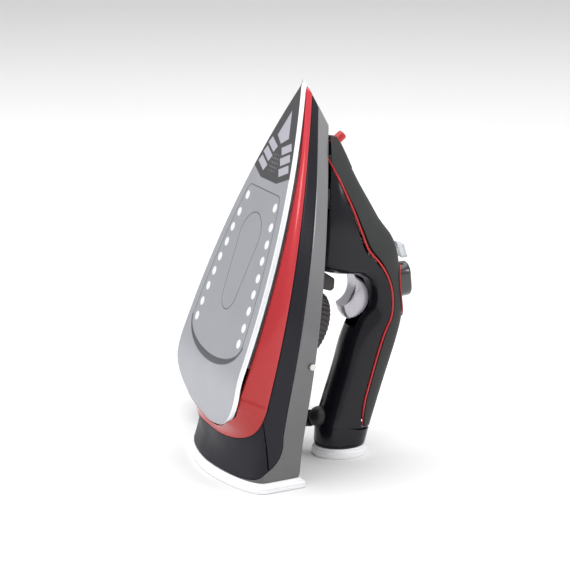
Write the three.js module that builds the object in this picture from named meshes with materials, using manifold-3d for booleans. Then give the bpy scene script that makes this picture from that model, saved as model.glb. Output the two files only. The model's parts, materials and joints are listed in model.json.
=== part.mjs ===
// An upright steam iron, standing on its heel and on the end of its handle.
// Each piece is built in the iron's own frame, in millimetres: x is sideways, y is the height above the
// soleplate's face and z runs along the soleplate to its tip. The group at the end leans that frame back
// by LEAN, so that in the part's frame +Z is up, the floor is z = 0 and the soleplate faces -Y.
import * as THREE from "three";
import { mergeVertices } from "three/addons/utils/BufferGeometryUtils.js";
import Module from "manifold-3d";

const wasm = await Module();
wasm.setup();

// ---- driving dimensions ----
const LEAN = THREE.MathUtils.degToRad(20.5);
const CENTRE_Y = 101.98; // from the sole's line on the floor to the middle of the standing iron
const GAP = 0.35; // left between neighbouring pieces
const WALL = 2.5; // moulded plastic shells

const SOLE_LENGTH = 284; // the tip's distance from the sole's line on the floor
const HALF_WIDTH = 59.3; // of the soleplate and of the body at its widest
const WIDEST = 79; // where along the sole the full width is reached
const PLATE = 3.4; // soleplate thickness
const HEEL_END = 43.5; // where the soleplate's curled heel ends
const HEEL_RISE = 16.4; // how far the curled heel rises
const CURL_START = 88;

const FOOT_HEIGHT = 7;
const FOOT = { front: 27.3, side: 46.9, back: 74, half: 63.2, halfBack: 59.5, power: 1.74 };
const CROWN = 8; // of the deck, over its edges

const DIAL = { along: 127, radius: 23, low: 55, high: 70 };
const VALVE_ALONG = 193; // where the steam valve stands along the sole
const CORD_RADIUS = 3;
// The cord's coil: whole layers of turns in a ring, and part of a layer on top of it.
const COIL = { x: -109.2, y: 100.8, inner: 20.8, outer: 39.2, height: 24.4, pitch: 6.2, entry: -66 };

// ---- meshes ----
const rad = THREE.MathUtils.degToRad;
const lerp = THREE.MathUtils.lerp;
const clamp = THREE.MathUtils.clamp;
const vec = (x, y, z) => new THREE.Vector3(x, y, z);

// From the standing frame (y back from the sole's line on the floor, z up) to the iron's own frame.
function standing(x, y, z) {
  return vec(x, y * Math.cos(LEAN) - z * Math.sin(LEAN), y * Math.sin(LEAN) + z * Math.cos(LEAN));
}

function signedVolume(points, faces) {
  const cross = new THREE.Vector3();
  return faces.reduce((sum, [a, b, c]) => sum + points[a].dot(cross.crossVectors(points[b], points[c])), 0);
}

// A closed geometry from points and triangles: flat triangles go, and the faces are turned outwards.
function closed(points, triangles) {
  const index = new Map();
  const kept = [];
  const place = points.map((p) => {
    const key = [p.x, p.y, p.z].map((c) => c.toFixed(3)).join();
    if (!index.has(key)) {
      index.set(key, kept.length);
      kept.push(p);
    }
    return index.get(key);
  });
  const faces = triangles
    .map((t) => t.map((i) => place[i]))
    .filter(([a, b, c]) => a !== b && b !== c && c !== a);
  const out = signedVolume(kept, faces) > 0;
  const geometry = new THREE.BufferGeometry().setFromPoints(kept);
  geometry.setIndex(faces.flatMap(([a, b, c]) => (out ? [a, b, c] : [a, c, b])));
  return geometry;
}

// Rings of equal length, one after another, with a fan over the first and the last.
function capped(rings) {
  const n = rings[0].length;
  const points = rings.flat();
  const faces = [];
  for (let i = 0; i + 1 < rings.length; i++) {
    for (let j = 0; j < n; j++) {
      const k = (j + 1) % n;
      faces.push([i * n + j, i * n + k, (i + 1) * n + k], [i * n + j, (i + 1) * n + k, (i + 1) * n + j]);
    }
  }
  for (const [row, turn] of [[0, true], [rings.length - 1, false]]) {
    const middle = points.length;
    points.push(rings[row].reduce((s, p) => s.clone().add(p), vec(0, 0, 0)).divideScalar(n));
    for (let j = 0; j < n; j++) {
      const k = (j + 1) % n;
      const edge = [row * n + j, row * n + k];
      faces.push(turn ? [middle, edge[1], edge[0]] : [middle, edge[0], edge[1]]);
    }
  }
  return closed(points, faces);
}

// Loops of equal length, joined each to the next and the last to the first, as a ring with a hole.
function ringShell(loops) {
  const n = loops[0].length;
  const faces = [];
  for (let i = 0; i < loops.length; i++) {
    const next = (i + 1) % loops.length;
    for (let j = 0; j < n; j++) {
      const k = (j + 1) % n;
      faces.push([i * n + j, i * n + k, next * n + k], [i * n + j, next * n + k, next * n + j]);
    }
  }
  return closed(loops.flat(), faces);
}

// The solid between two surfaces given over the unit square, closed round its four edges.
function patchShell(outer, inner, across, along) {
  const points = [];
  for (const surface of [outer, inner]) {
    for (let i = 0; i <= across; i++) {
      for (let j = 0; j <= along; j++) points.push(surface(i / across, j / along));
    }
  }
  const row = along + 1;
  const layer = (across + 1) * row;
  const faces = [];
  const quad = (a, b, c, d) => faces.push([a, b, c], [a, c, d]);
  for (let i = 0; i < across; i++) {
    for (let j = 0; j < along; j++) {
      const a = i * row + j;
      quad(a, a + row, a + row + 1, a + 1);
      quad(layer + a, layer + a + 1, layer + a + row + 1, layer + a + row);
    }
  }
  for (let i = 0; i < across; i++) {
    const [a, b] = [i * row, i * row + along];
    quad(a, layer + a, layer + a + row, a + row);
    quad(b, b + row, layer + b + row, layer + b);
  }
  for (let j = 0; j < along; j++) {
    const [a, b] = [j, across * row + j];
    quad(a, a + 1, layer + a + 1, layer + a);
    quad(b, layer + b, layer + b + 1, b + 1);
  }
  return closed(points, faces);
}

// ---- booleans ----
function solid(geometry) {
  const bare = geometry.clone();
  bare.deleteAttribute("normal");
  bare.deleteAttribute("uv");
  const merged = mergeVertices(bare, 1e-4);
  const vertProperties = new Float32Array(merged.attributes.position.array);
  const triVerts = new Uint32Array(merged.index.array);
  return new wasm.Manifold(new wasm.Mesh({ numProp: 3, vertProperties, triVerts }));
}

function geometryOf(made) {
  const { vertProperties, triVerts } = made.getMesh();
  const geometry = new THREE.BufferGeometry();
  geometry.setAttribute("position", new THREE.BufferAttribute(new Float32Array(vertProperties), 3));
  return geometry.setIndex(new THREE.BufferAttribute(new Uint32Array(triVerts), 1));
}

const cut = (from, ...tools) => geometryOf(tools.reduce((s, t) => s.subtract(solid(t)), solid(from)));
const join = (first, ...more) => geometryOf(more.reduce((s, m) => s.add(solid(m)), solid(first)));
const meet = (first, second) => geometryOf(solid(first).intersect(solid(second)));

// The largest body of a piece that a cut has left in several.
function largest(geometry) {
  const bodies = solid(geometry).decompose();
  return geometryOf(bodies.reduce((a, b) => (a.volume() > b.volume() ? a : b)));
}

// ---- simple forms, placed ----
// A cylinder or cone whose axis runs from one point to another.
function rod(from, to, radius, endRadius = radius, sides = 16) {
  const axis = to.clone().sub(from);
  const made = new THREE.CylinderGeometry(endRadius, radius, axis.length(), sides);
  made.applyQuaternion(new THREE.Quaternion().setFromUnitVectors(vec(0, 1, 0), axis.normalize()));
  const middle = from.clone().lerp(to, 0.5);
  return made.translate(middle.x, middle.y, middle.z);
}

function block(width, depth, height, x, y, z) {
  return new THREE.BoxGeometry(width, depth, height).translate(x, y, z);
}

// A turned piece: profile pairs of [radius, distance along the axis], from a base point along a direction.
function turned(profile, base, direction, sides = 20) {
  const made = new THREE.LatheGeometry(profile.map(([r, a]) => new THREE.Vector2(r, a)), sides);
  made.applyQuaternion(new THREE.Quaternion().setFromUnitVectors(vec(0, 1, 0), direction.clone().normalize()));
  return made.translate(base.x, base.y, base.z);
}

// A side-view outline of [height, along] points, extruded sideways from x0 to x1.
function sidePrism(outline, x0, x1) {
  const shape = new THREE.Shape(outline.map(([v, h]) => new THREE.Vector2(v, h)));
  const made = new THREE.ExtrudeGeometry(shape, { depth: x1 - x0, bevelEnabled: false });
  const turn = new THREE.Matrix4().makeBasis(vec(0, 1, 0), vec(0, 0, 1), vec(1, 0, 0));
  return made.applyMatrix4(turn).translate(x0, 0, 0);
}

// A plan outline of [x, along] points, extruded from one height above the sole to another.
function planPrism(outline, low, high) {
  const shape = new THREE.Shape(outline.map(([x, h]) => new THREE.Vector2(x, h)));
  const made = new THREE.ExtrudeGeometry(shape, { depth: high - low, bevelEnabled: false });
  const turn = new THREE.Matrix4().makeBasis(vec(1, 0, 0), vec(0, 0, 1), vec(0, -1, 0));
  return made.applyMatrix4(turn).translate(0, high, 0);
}

// A round tube along a curve.
function tube(points, radius, steps, sides = 8) {
  const section = new THREE.Shape(
    Array.from({ length: sides }, (_, i) => {
      const turn = (2 * Math.PI * i) / sides;
      return new THREE.Vector2(radius * Math.cos(turn), radius * Math.sin(turn));
    }),
  );
  const extrudePath = new THREE.CatmullRomCurve3(points, false, "centripetal");
  return new THREE.ExtrudeGeometry(section, { steps, extrudePath, bevelEnabled: false });
}

// ---- the body's outer surface ----
const noseAt = (v) => SOLE_LENGTH - 2 - 2.1 * Math.max(0, v - 7) ** 0.75;

function halfWidth(v, h) {
  const t = clamp((noseAt(v) - h) / (noseAt(v) - WIDEST), 0, 1);
  return (HALF_WIDTH - 0.055 * Math.max(0, v - 10)) * (1 - (1 - t) ** 2.15);
}

const skirtTop = (h) => 9.8 + 17.7 * (clamp(280 - h, 0, 208.5) / 208.5) ** 1.3;
const deckEdge = (h) => 29 + 37 * (clamp(262 - h, 0, 229) / 229) ** 1.25;

const SIDE_SHARE = 0.72; // of the way round from the nose to the middle of the heel
const SKIRT_REAR = 71.5;
const DECK_REAR = standing(FOOT.halfBack, FOOT.back, FOOT_HEIGHT + 0.5);

// Round the top of the red skirt: u runs from 0 at the nose to 1 at the middle of the heel.
function skirtLine(u, inset) {
  if (u <= SIDE_SHARE) {
    const h = lerp(277.2 - 1.9 * inset, SKIRT_REAR, (u / SIDE_SHARE) ** 1.15);
    const v = skirtTop(h);
    return vec(Math.max(0, halfWidth(v, h) - inset), v, h);
  }
  const s = Math.sin(((u - SIDE_SHARE) / (1 - SIDE_SHARE)) * (Math.PI / 2));
  const x = (HALF_WIDTH - 0.3 - inset) * Math.max(0, 1 - s ** 3.1) ** (1 / 3.1);
  return vec(x, 27.5 - 10.2 * s ** 4.5 + inset * s ** 4, lerp(SKIRT_REAR, 40.4 + inset * 0.8, s));
}

// Round the deck's edge down to the floor, and then round the foot to the middle of the heel.
function deckLine(u, inset) {
  if (u <= SIDE_SHARE) {
    const h = lerp(260.6 - 1.9 * inset, DECK_REAR.z, (u / SIDE_SHARE) ** 1.15);
    const v = deckEdge(h);
    const flare = (FOOT.halfBack - halfWidth(DECK_REAR.y, DECK_REAR.z)) * clamp(1 - (h - DECK_REAR.z) / 30, 0, 1) ** 2;
    return vec(Math.max(0, halfWidth(v, h) + flare - inset), v, h);
  }
  const turn = (u - SIDE_SHARE) / (1 - SIDE_SHARE);
  const straight = 0.22;
  const z = FOOT_HEIGHT + 0.5;
  if (turn < straight) {
    const k = turn / straight;
    return standing(lerp(FOOT.halfBack, FOOT.half, k) - inset, lerp(FOOT.back, FOOT.side, k), z);
  }
  const s = Math.sin(((turn - straight) / (1 - straight)) * (Math.PI / 2));
  const x = (FOOT.half - inset) * Math.max(0, 1 - s ** FOOT.power) ** (1 / FOOT.power);
  return standing(x, lerp(FOOT.side, FOOT.front + inset, s), z);
}

// The body's side at u round it and w down it, from the skirt (0) to the deck's edge or the foot (1).
function bodySide(u, w, inset) {
  const side = Math.sign(u) || 1;
  const p = skirtLine(Math.abs(u), inset).lerp(deckLine(Math.abs(u), inset), w);
  const turn = Math.max(0, (Math.abs(u) - SIDE_SHARE) / (1 - SIDE_SHARE));
  const waist = 2.8 * Math.sin(Math.PI * clamp(w, 0, 1)) * Math.sin((turn * Math.PI) / 2);
  const inward = standing(-0.3 * Math.min(1, p.x / 20), 1, 0).setLength(waist);
  p.add(inward);
  return vec(side * Math.max(0, p.x), p.y, p.z);
}

// Where the water tank's band starts, as w, and where it fades out under the heel.
const TANK_END = SIDE_SHARE + (1 - SIDE_SHARE) * 0.66;
function tankLine(u) {
  if (u <= SIDE_SHARE) return 0.375 + 0.105 * Math.min(1, u / 0.2);
  return 1 - 0.52 * (1 - clamp((u - SIDE_SHARE) / (TANK_END - SIDE_SHARE), 0, 1)) ** 3.2;
}
const HEEL_COVER_FROM = SIDE_SHARE + (1 - SIDE_SHARE) * 0.19;
const SEAM = 0.014; // the gap between neighbouring bands, as w

const evenly = (from, to, steps) => Array.from({ length: steps }, (_, i) => lerp(from, to, (i + 1) / steps));
const FRONT_STATIONS = [0, ...evenly(0, SIDE_SHARE, 14), ...evenly(SIDE_SHARE, HEEL_COVER_FROM - 0.002, 3)];
const HEEL_STATIONS = evenly(HEEL_COVER_FROM, TANK_END, 6);
const mirrored = (stations) => [...stations.slice(1).reverse().map((u) => -u), ...stations];

// A band of the body's side at stations round it, between two lines given as w.
function sideBand(stations, low, high, rows) {
  const surface = (inset) => (a, b) => {
    const u = stations[Math.round(a * (stations.length - 1))];
    return bodySide(u, lerp(low(Math.abs(u)), high(Math.abs(u)), b), inset);
  };
  return patchShell(surface(0), surface(WALL), stations.length - 1, rows);
}

// The deck's crowned surface: a along it from the nose, b across it from -1 to 1.
function deckPoint(a, b, inset, drop) {
  const edge = deckLine(a * SIDE_SHARE, 0);
  const x = Math.max(0, edge.x - inset) * b;
  const rise = CROWN * Math.min(1, a / 0.3) * (1 - b * b) - drop;
  return vec(x, edge.y, edge.z).add(standing(0, rise, 0));
}

// Everything under the deck's surface, as a tool that trims what stands on it.
function underDeck(gap) {
  const rings = [];
  for (let i = 0; i <= 14; i++) {
    const top = [];
    for (let j = -4; j <= 4; j++) top.push(deckPoint(i / 14, j / 4, -6, -gap));
    const [last, first] = [top.at(-1), top[0]];
    rings.push([...top, vec(last.x, last.y - 60, last.z), vec(first.x, first.y - 60, first.z)]);
  }
  return capped(rings);
}

// ---- sole and heater ----
const curl = (h) => HEEL_RISE * (Math.max(0, CURL_START - h) / (CURL_START - HEEL_END)) ** 2;

function soleHalf(h) {
  const start = 75.3;
  if (h >= start) return halfWidth(0, h + 2 * Math.max(0, (h - WIDEST) / (SOLE_LENGTH - WIDEST)) - 2);
  const s = clamp((start - h) / (start - HEEL_END), 0, 1);
  return HALF_WIDTH * Math.max(0, 1 - s ** 1.87) ** (1 / 1.87);
}

const STEAM_HOLES = { pairs: 9, first: 106, last: 197, wide: 40.8, narrow: 26 };
function steamHolePlaces() {
  const places = [];
  for (let i = 0; i < STEAM_HOLES.pairs; i++) {
    const t = i / (STEAM_HOLES.pairs - 1);
    const x = lerp(STEAM_HOLES.wide, STEAM_HOLES.narrow, t ** 2.2);
    for (const side of [-1, 1]) places.push([side * x, lerp(STEAM_HOLES.first, STEAM_HOLES.last, t)]);
  }
  for (let i = 0; i < 3; i++) {
    for (const side of [-1, 1]) places.push([side * (9.8 + 3.35 * i), 235.4 - 7.1 * i]);
  }
  return places;
}

function soleplate() {
  const stations = [284, 276, 262, 244, 222, 196, 168, 140, 112, 88, 80, 72, 64, 57, 51, 46.5, 44, HEEL_END];
  const surface = (lift) => (a, b) => {
    const i = Math.round(a * (stations.length - 1));
    const h = stations[i];
    return vec(soleHalf(h) * lerp(-1, 1, b), curl(h) + lift, h);
  };
  const plate = patchShell(surface(0), surface(PLATE), stations.length - 1, 4);
  const holes = steamHolePlaces().map(([x, h]) => rod(vec(x, -2, h), vec(x, PLATE + 2, h), 1.7, 1.7, 7));
  return cut(plate, ...holes);
}

// The sole's plan outline drawn in by some distance, between two places along it.
function planInset(inset, rear, front, steps = 10, most = 99) {
  const near = [];
  for (let i = 0; i <= steps; i++) {
    const h = lerp(rear, front, 1 - (1 - i / steps) ** 1.3);
    near.push([clamp(halfWidth(0, h) - inset, 0.8, most), h]);
  }
  return [...near, ...near.map(([x, h]) => [-x, h]).reverse()];
}

const CASTING = { rear: 93, front: 257, low: PLATE + GAP, high: 14.5 };
const ELEMENT = { radius: 3.3, height: 12.6, rear: 106 };
const SHIELD = { low: 19, high: 20 };
const SCREW_PLACES = { left: [-42, 100], right: [42, 100], front: [0, 237] };

// The element's path: up one side, round under the tip and down the other, with its ends turned up.
function elementPath() {
  const near = [vec(30, 27, 99), vec(30, 20, 99), vec(30.5, ELEMENT.height + 1, 101)];
  for (const h of [ELEMENT.rear, 140, 180, 203, 219]) {
    near.push(vec(Math.min(33, halfWidth(0, h) - 13), ELEMENT.height, h));
  }
  const far = near.map((p) => vec(-p.x, p.y, p.z)).reverse();
  return [...near, vec(0, ELEMENT.height, 228), ...far];
}

const screwHoles = () => Object.values(SCREW_PLACES).map(([x, h]) => rod(vec(x, 5, h), vec(x, 30, h), 2, 2, 10));

function heaterCasting() {
  const bed = planPrism(planInset(7, CASTING.rear, CASTING.front), CASTING.low, CASTING.high);
  const chamber = planPrism(planInset(24, 116, 204, 5, 24), 7.5, CASTING.high + 5);
  return cut(bed, chamber, tube(elementPath(), ELEMENT.radius + 0.6, 30, 7), ...screwHoles());
}

const heatingElement = () => tube(elementPath(), ELEMENT.radius, 30, 7);

function chamberLid() {
  const lid = planPrism(planInset(19, 112, 208, 5, 28.5), CASTING.high + GAP, CASTING.high + GAP + 1.4);
  return cut(lid, rod(vec(0, 0, VALVE_ALONG), vec(0, 40, VALVE_ALONG), 2.6, 2.6, 12));
}

function heatShield() {
  const frame = planPrism(planInset(11, 97, 243, 7), SHIELD.low, SHIELD.high);
  const window = planPrism(planInset(21, 90, 226, 6), SHIELD.low - 5, SHIELD.high + 5);
  return cut(frame, window, ...screwHoles());
}

function castingScrew([x, h]) {
  const profile = [[0, 6], [1.6, 6], [1.6, SHIELD.high + GAP], [3.2, SHIELD.high + GAP], [2.6, SHIELD.high + 2.4]];
  return turned([...profile, [0, SHIELD.high + 2.4]], vec(x, 0, h), vec(0, 1, 0), 12);
}

// ---- skirt, bands, deck, heel and foot ----
function skirtRing() {
  const steps = 34;
  const loop = (point) => {
    const near = [];
    for (let i = 0; i <= steps; i++) near.push(point(i / steps));
    const far = near.slice(1, -1).map((p) => vec(-p.x, p.y, p.z)).reverse();
    return [...near, ...far];
  };
  const low = (inset) => (u) => {
    if (u <= SIDE_SHARE) {
      const t = (u / SIDE_SHARE) ** 1.15;
      const h = lerp(281 - 1.9 * inset, 74, t);
      return vec(Math.max(0, halfWidth(0, h) - 1.5 - inset), lerp(4.6, 7, Math.min(1, t * 4)), h);
    }
    const s = Math.sin(((u - SIDE_SHARE) / (1 - SIDE_SHARE)) * (Math.PI / 2));
    const h = lerp(74, 42.9, s);
    const beside = lerp(-1.5, 0.6, Math.min(1, 5 * s)) * Math.sqrt(1 - s * s) - inset * (1 - s ** 4);
    const lift = inset > 0 ? 4.6 : lerp(6.6, 0.4, clamp((s - 0.32) / 0.4, 0, 1));
    return vec(Math.max(0, soleHalf(h + 0.6) + beside), curl(h) + lift, h);
  };
  return ringShell([
    loop(low(0)),
    loop((u) => skirtLine(u, 0)),
    loop((u) => skirtLine(u, WALL)),
    loop(low(WALL)),
  ]);
}

const bodyShell = () => sideBand(mirrored(FRONT_STATIONS), () => SEAM, (u) => tankLine(u) - SEAM, 1);

// The inside of the body above the skirt, as a tool that gives the tank's floor its outline.
function bodyInside(inset) {
  const steps = 20;
  const rings = [0.12, 0.55, 0.98].map((w) => {
    const near = [];
    for (let i = 0; i <= steps; i++) near.push(bodySide(i / steps, w, inset));
    const far = near.slice(1, -1).map((p) => vec(-p.x, p.y, p.z)).reverse();
    return [...near, ...far];
  });
  return capped(rings);
}

// The tank: the outer band that shows, and a sloping floor that hangs inside it.
function waterTank() {
  const band = sideBand(mirrored([...FRONT_STATIONS, ...HEEL_STATIONS]), tankLine, () => 1, 1);
  const slab = sidePrism([[42, 100], [44, 100], [27, 225], [25, 225]], -70, 70);
  const floor = meet(slab, bodyInside(1.2));
  const shaftWell = rod(vec(0, 20, DIAL.along), vec(0, 60, DIAL.along), 5, 5, 12);
  const valveWell = rod(vec(0, 20, VALVE_ALONG), vec(0, 50, VALVE_ALONG), 3.4, 3.4, 12);
  return cut(join(band, floor), shaftWell, valveWell);
}

function deckCover() {
  const surface = (drop) => (a, b) => deckPoint(lerp(0.07, 1, a), lerp(-1, 1, b), 3.2, drop);
  const cover = patchShell(surface(0), surface(WALL), 16, 6);
  const dialWell = rod(vec(0, 30, DIAL.along), vec(0, 90, DIAL.along), DIAL.radius + 1, DIAL.radius + 1, 30);
  const passage = block(16, 60, 34, 0, 50, 205);
  return cut(cover, dialWell, passage);
}

function heelCover() {
  const near = [HEEL_COVER_FROM + 0.003, ...HEEL_STATIONS, ...evenly(TANK_END, 1, 4)];
  const stations = [...near, ...near.slice(0, -1).reverse().map((u) => -u)];
  const high = (u) => (u < TANK_END ? tankLine(u) - SEAM : 1);
  return sideBand(stations, () => 1.6 * SEAM, high, 2);
}

// The foot: a soft pad under the heel, wider than the body at its rim.
function footLoop(grow, z) {
  const near = [];
  for (let i = 0; i <= 4; i++) near.push([lerp(0, FOOT.halfBack + grow, i / 4), FOOT.back + 5.5 * (1 - (i / 4) ** 2) + grow]);
  for (let i = 0; i <= 10; i++) {
    const s = Math.sin((i / 10) * (Math.PI / 2));
    const x = (FOOT.half + grow) * Math.max(0, 1 - s ** FOOT.power) ** (1 / FOOT.power);
    near.push([x, lerp(FOOT.side, FOOT.front - grow, s)]);
  }
  const far = near.slice(1, -1).map(([x, y]) => [-x, y]).reverse();
  return [...near, ...far].map(([x, y]) => standing(x, y, z));
}

const heelFoot = () =>
  capped([footLoop(2.6, 0), footLoop(3.8, 1.6), footLoop(3.4, 4.4), footLoop(0.6, 5.6), footLoop(0.2, FOOT_HEIGHT)]);

// ---- handle ----
// Stations from the nozzle to the grip's end: a point on top, one underneath and the half-widths there.
const HANDLE = [
  { top: [36.5, 256.6], under: [27, 254], upper: 2.5, lower: 5 },
  { top: [45.5, 248.2], under: [27, 242], upper: 7.5, lower: 15 },
  { top: [61, 232.7], under: [30, 224], upper: 12.5, lower: 24 },
  { top: [75, 221], under: [34, 205], upper: 15.5, lower: 29 },
  { top: [88, 210.5], under: [38, 186], upper: 17.5, lower: 30 },
  { top: [99, 203.6], under: [46, 167], upper: 18.5, lower: 27 },
  { top: [106.5, 195.5], under: [62, 165], upper: 19, lower: 23 },
  { top: [113, 183.5], under: [75, 168.5], upper: 19, lower: 19.5 },
  { top: [119.5, 171], under: [86, 168], upper: 18.5, lower: 17.5 },
  { top: [124.6, 158.5], under: [94, 161.5], upper: 18, lower: 16.5 },
  { top: [127.4, 147.5], under: [97.5, 151], upper: 17.5, lower: 16 },
  { top: [129, 136.5], under: [93, 138], upper: 17.2, lower: 16 },
  { top: [129.8, 124], under: [92, 123], upper: 17, lower: 16 },
  { top: [130.4, 104], under: [93.6, 103], upper: 17, lower: 16 },
  { top: [131.2, 86], under: [94.8, 80], upper: 17, lower: 16 },
  { top: [132, 71], under: [96, 62], upper: 17, lower: 16.3 },
  { top: [133, 59.6], under: [100, 47.3], upper: 16.6, lower: 16.6 },
];
const SECTION_POWER = 2.5;
const SEAM_DEPTH = [0.97, 0.9, 0.62, 0.48, 0.42, 0.4, 0.4, 0.4, 0.42, 0.44, 0.44, 0.43, 0.42, 0.41, 0.38, 0.26, 0.1];

// A point on the handle's skin: a from 0 at the nozzle to 1 at the grip's end, depth from 0 on top to 1
// underneath, on the side named by its sign.
function handleSkin(a, depth, side, inset) {
  const place = clamp(a, 0, 1) * (HANDLE.length - 1);
  const i = Math.min(HANDLE.length - 2, Math.floor(place));
  const t = place - i;
  const mix = (get) => lerp(get(HANDLE[i]), get(HANDLE[i + 1]), t);
  const top = new THREE.Vector2(mix((s) => s.top[0]), mix((s) => s.top[1]));
  const under = new THREE.Vector2(mix((s) => s.under[0]), mix((s) => s.under[1]));
  const down = under.clone().sub(top);
  const length = down.length();
  const s = 1 - 2 * clamp(depth, 0, 1);
  const shrink = Math.max(0.1, 1 - (2 * inset) / length);
  const middle = top.clone().lerp(under, 0.5);
  const p = middle.addScaledVector(down, (-s * shrink) / 2);
  const half = Math.max(0.6, lerp(mix((k) => k.upper), mix((k) => k.lower), clamp(depth, 0, 1)) - inset);
  const x = side * half * Math.max(0, 1 - Math.abs(s) ** SECTION_POWER) ** (1 / SECTION_POWER);
  return vec(x, p.x, p.y);
}

function seamDepth(a) {
  const place = clamp(a, 0, 1) * (SEAM_DEPTH.length - 1);
  const i = Math.min(SEAM_DEPTH.length - 2, Math.floor(place));
  return lerp(SEAM_DEPTH[i], SEAM_DEPTH[i + 1], place - i);
}

// Spreads the points of a half section evenly round it: k from 0 on top to 1 underneath.
const roundDepth = (k) => 0.5 - 0.5 * Math.cos(Math.PI * k);
const roundShare = (depth) => Math.acos(1 - 2 * depth) / Math.PI;

const COVER_END = 0.945; // the top cover stops here, before the grip's end

function handleCover() {
  const surface = (inset) => (a, b) => {
    const along = lerp(0.012, COVER_END - 0.01, a);
    const reach = roundShare(seamDepth(along)) - 0.035;
    const k = lerp(-reach, reach, b);
    return handleSkin(along, roundDepth(Math.abs(k)), Math.sign(k) || 1, inset);
  };
  const shell = patchShell(surface(0), surface(2.2), 24, 6);
  return cut(shell, fillerHole(), leverSlot(), buttonHole(), underDeck(GAP), nozzleSocket());
}

function handleShell() {
  const surface = (inset) => (a, b) => {
    const along = lerp(0.02, 1, a);
    const reach = roundShare(along < COVER_END ? seamDepth(along) : 0.002) + 0.02;
    const k = lerp(reach, 2 - reach, b);
    const depth = roundDepth(k <= 1 ? k : 2 - k);
    return handleSkin(along, depth, k <= 1 ? 1 : -1, inset);
  };
  const shell = patchShell(surface(0), surface(WALL), 30, 10);
  return largest(cut(shell, underDeck(GAP), triggerPocket(), ballSocket(), ...reliefSlot()));
}

// A thin strip along the seam between the cover and the shell, on one side.
function piping(side) {
  const line = [];
  for (let i = 0; i <= 26; i++) {
    const a = lerp(0.1, COVER_END - 0.01, i / 26);
    const p = handleSkin(a, roundDepth(roundShare(seamDepth(a)) - 0.0075), side, 0.55);
    line.push(p);
  }
  return tube(line, 0.62, 30, 5);
}

const GRIP_END = { y: 127.8, half: 16.6, depth: 18.2 };
function gripRing(grow, z) {
  return Array.from({ length: 24 }, (_, i) => {
    const turn = (2 * Math.PI * i) / 24;
    const x = (GRIP_END.half + grow) * Math.cos(turn);
    return standing(x, GRIP_END.y + (GRIP_END.depth + grow) * Math.sin(turn), z);
  });
}

// ---- buttons, trigger, lever and flap ----
const SLOPE = new THREE.Vector2(18.1, -37.5).normalize(); // along the handle's top under the thumb
const OUT = vec(0, -SLOPE.y, SLOPE.x); // out of that slope
const ALONG = vec(0, SLOPE.x, SLOPE.y);
const THUMB = vec(0, 117.2, 175.4); // on the slope, under the middle of the button

const onSlope = (along, out, x = 0) =>
  THUMB.clone().addScaledVector(ALONG, along).addScaledVector(OUT, out).add(vec(x, 0, 0));

// A box with its height along the slope's normal.
function slopeBlock(width, length, height, along, out) {
  const made = new THREE.BoxGeometry(width, length, height);
  made.applyMatrix4(new THREE.Matrix4().makeBasis(vec(1, 0, 0), ALONG, OUT.clone()));
  const p = onSlope(along, out);
  return made.translate(p.x, p.y, p.z);
}

// A block with rounded ends, its height along the slope's normal, from a plan outline.
function slopePad(width, length, low, high, along) {
  const r = width / 2 - 0.01;
  const shape = new THREE.Shape();
  shape.absarc(0, length / 2 - r, r, 0, Math.PI, false);
  shape.absarc(0, r - length / 2, r, Math.PI, 2 * Math.PI, false);
  const made = new THREE.ExtrudeGeometry(shape, { depth: high - low, bevelEnabled: false, curveSegments: 8 });
  made.applyMatrix4(new THREE.Matrix4().makeBasis(vec(1, 0, 0), ALONG, OUT.clone()));
  const p = onSlope(along, low);
  return made.translate(p.x, p.y, p.z);
}

const BUTTON = { width: 16, length: 25, along: 1.5, low: -6, high: 8 };
const buttonHole = () => slopePad(BUTTON.width + 1.2, BUTTON.length + 1.2, -16, 16, BUTTON.along);
const sprayButton = () => slopePad(BUTTON.width, BUTTON.length, BUTTON.low, BUTTON.high, BUTTON.along);

// The steam lever: a fin over the cover, on a stem that passes a slot and rocks sideways on an axle.
const LEVER = { along: -19.5, half: 3.6, stem: 4.4, axle: -20 };
const leverSlot = () => slopeBlock(17, 7, 30, LEVER.along, 0);
function steamLever() {
  const fin = sidePrism([[105.6, 199.2], [112, 199.6], [118.3, 191.6], [113.6, 189.6]], -LEVER.half, LEVER.half);
  const height = 3 - LEVER.axle;
  const stem = slopeBlock(LEVER.stem, 4, height, LEVER.along, LEVER.axle + height / 2);
  const axle = rod(onSlope(LEVER.along - 5, LEVER.axle), onSlope(LEVER.along + 5, LEVER.axle), 2.6, 2.6, 12);
  return join(fin, stem, axle);
}

const TRIGGER = { pivot: [91, 171.5], half: 7.5 };
// The trigger's crescent in side view: its back follows the handle, its front fits a finger.
function trigger() {
  const back = [];
  const front = [];
  for (let i = 0; i <= 8; i++) {
    const turn = rad(lerp(68, -72, i / 8));
    back.push([83.6 + 15.6 * Math.cos(turn), 152.6 + 15.2 * Math.sin(turn)]);
    front.push([76 + 9.4 * Math.cos(turn * 0.8), 157.4 + 14.2 * Math.sin(turn * 0.8)]);
  }
  return sidePrism([...back, [84, 141.5], ...front.reverse()], -TRIGGER.half, TRIGGER.half);
}

function triggerPocket() {
  const outline = [[79, 170.5], [92, 171], [100, 166.5], [108, 157], [108, 143], [101, 133.5], [88, 133.5], [77, 143]];
  return sidePrism(outline, -TRIGGER.half - 0.8, TRIGGER.half + 0.8);
}

const FLAP = { front: [50.5, 236], rear: [83, 206.4], half: 8 };
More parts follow.
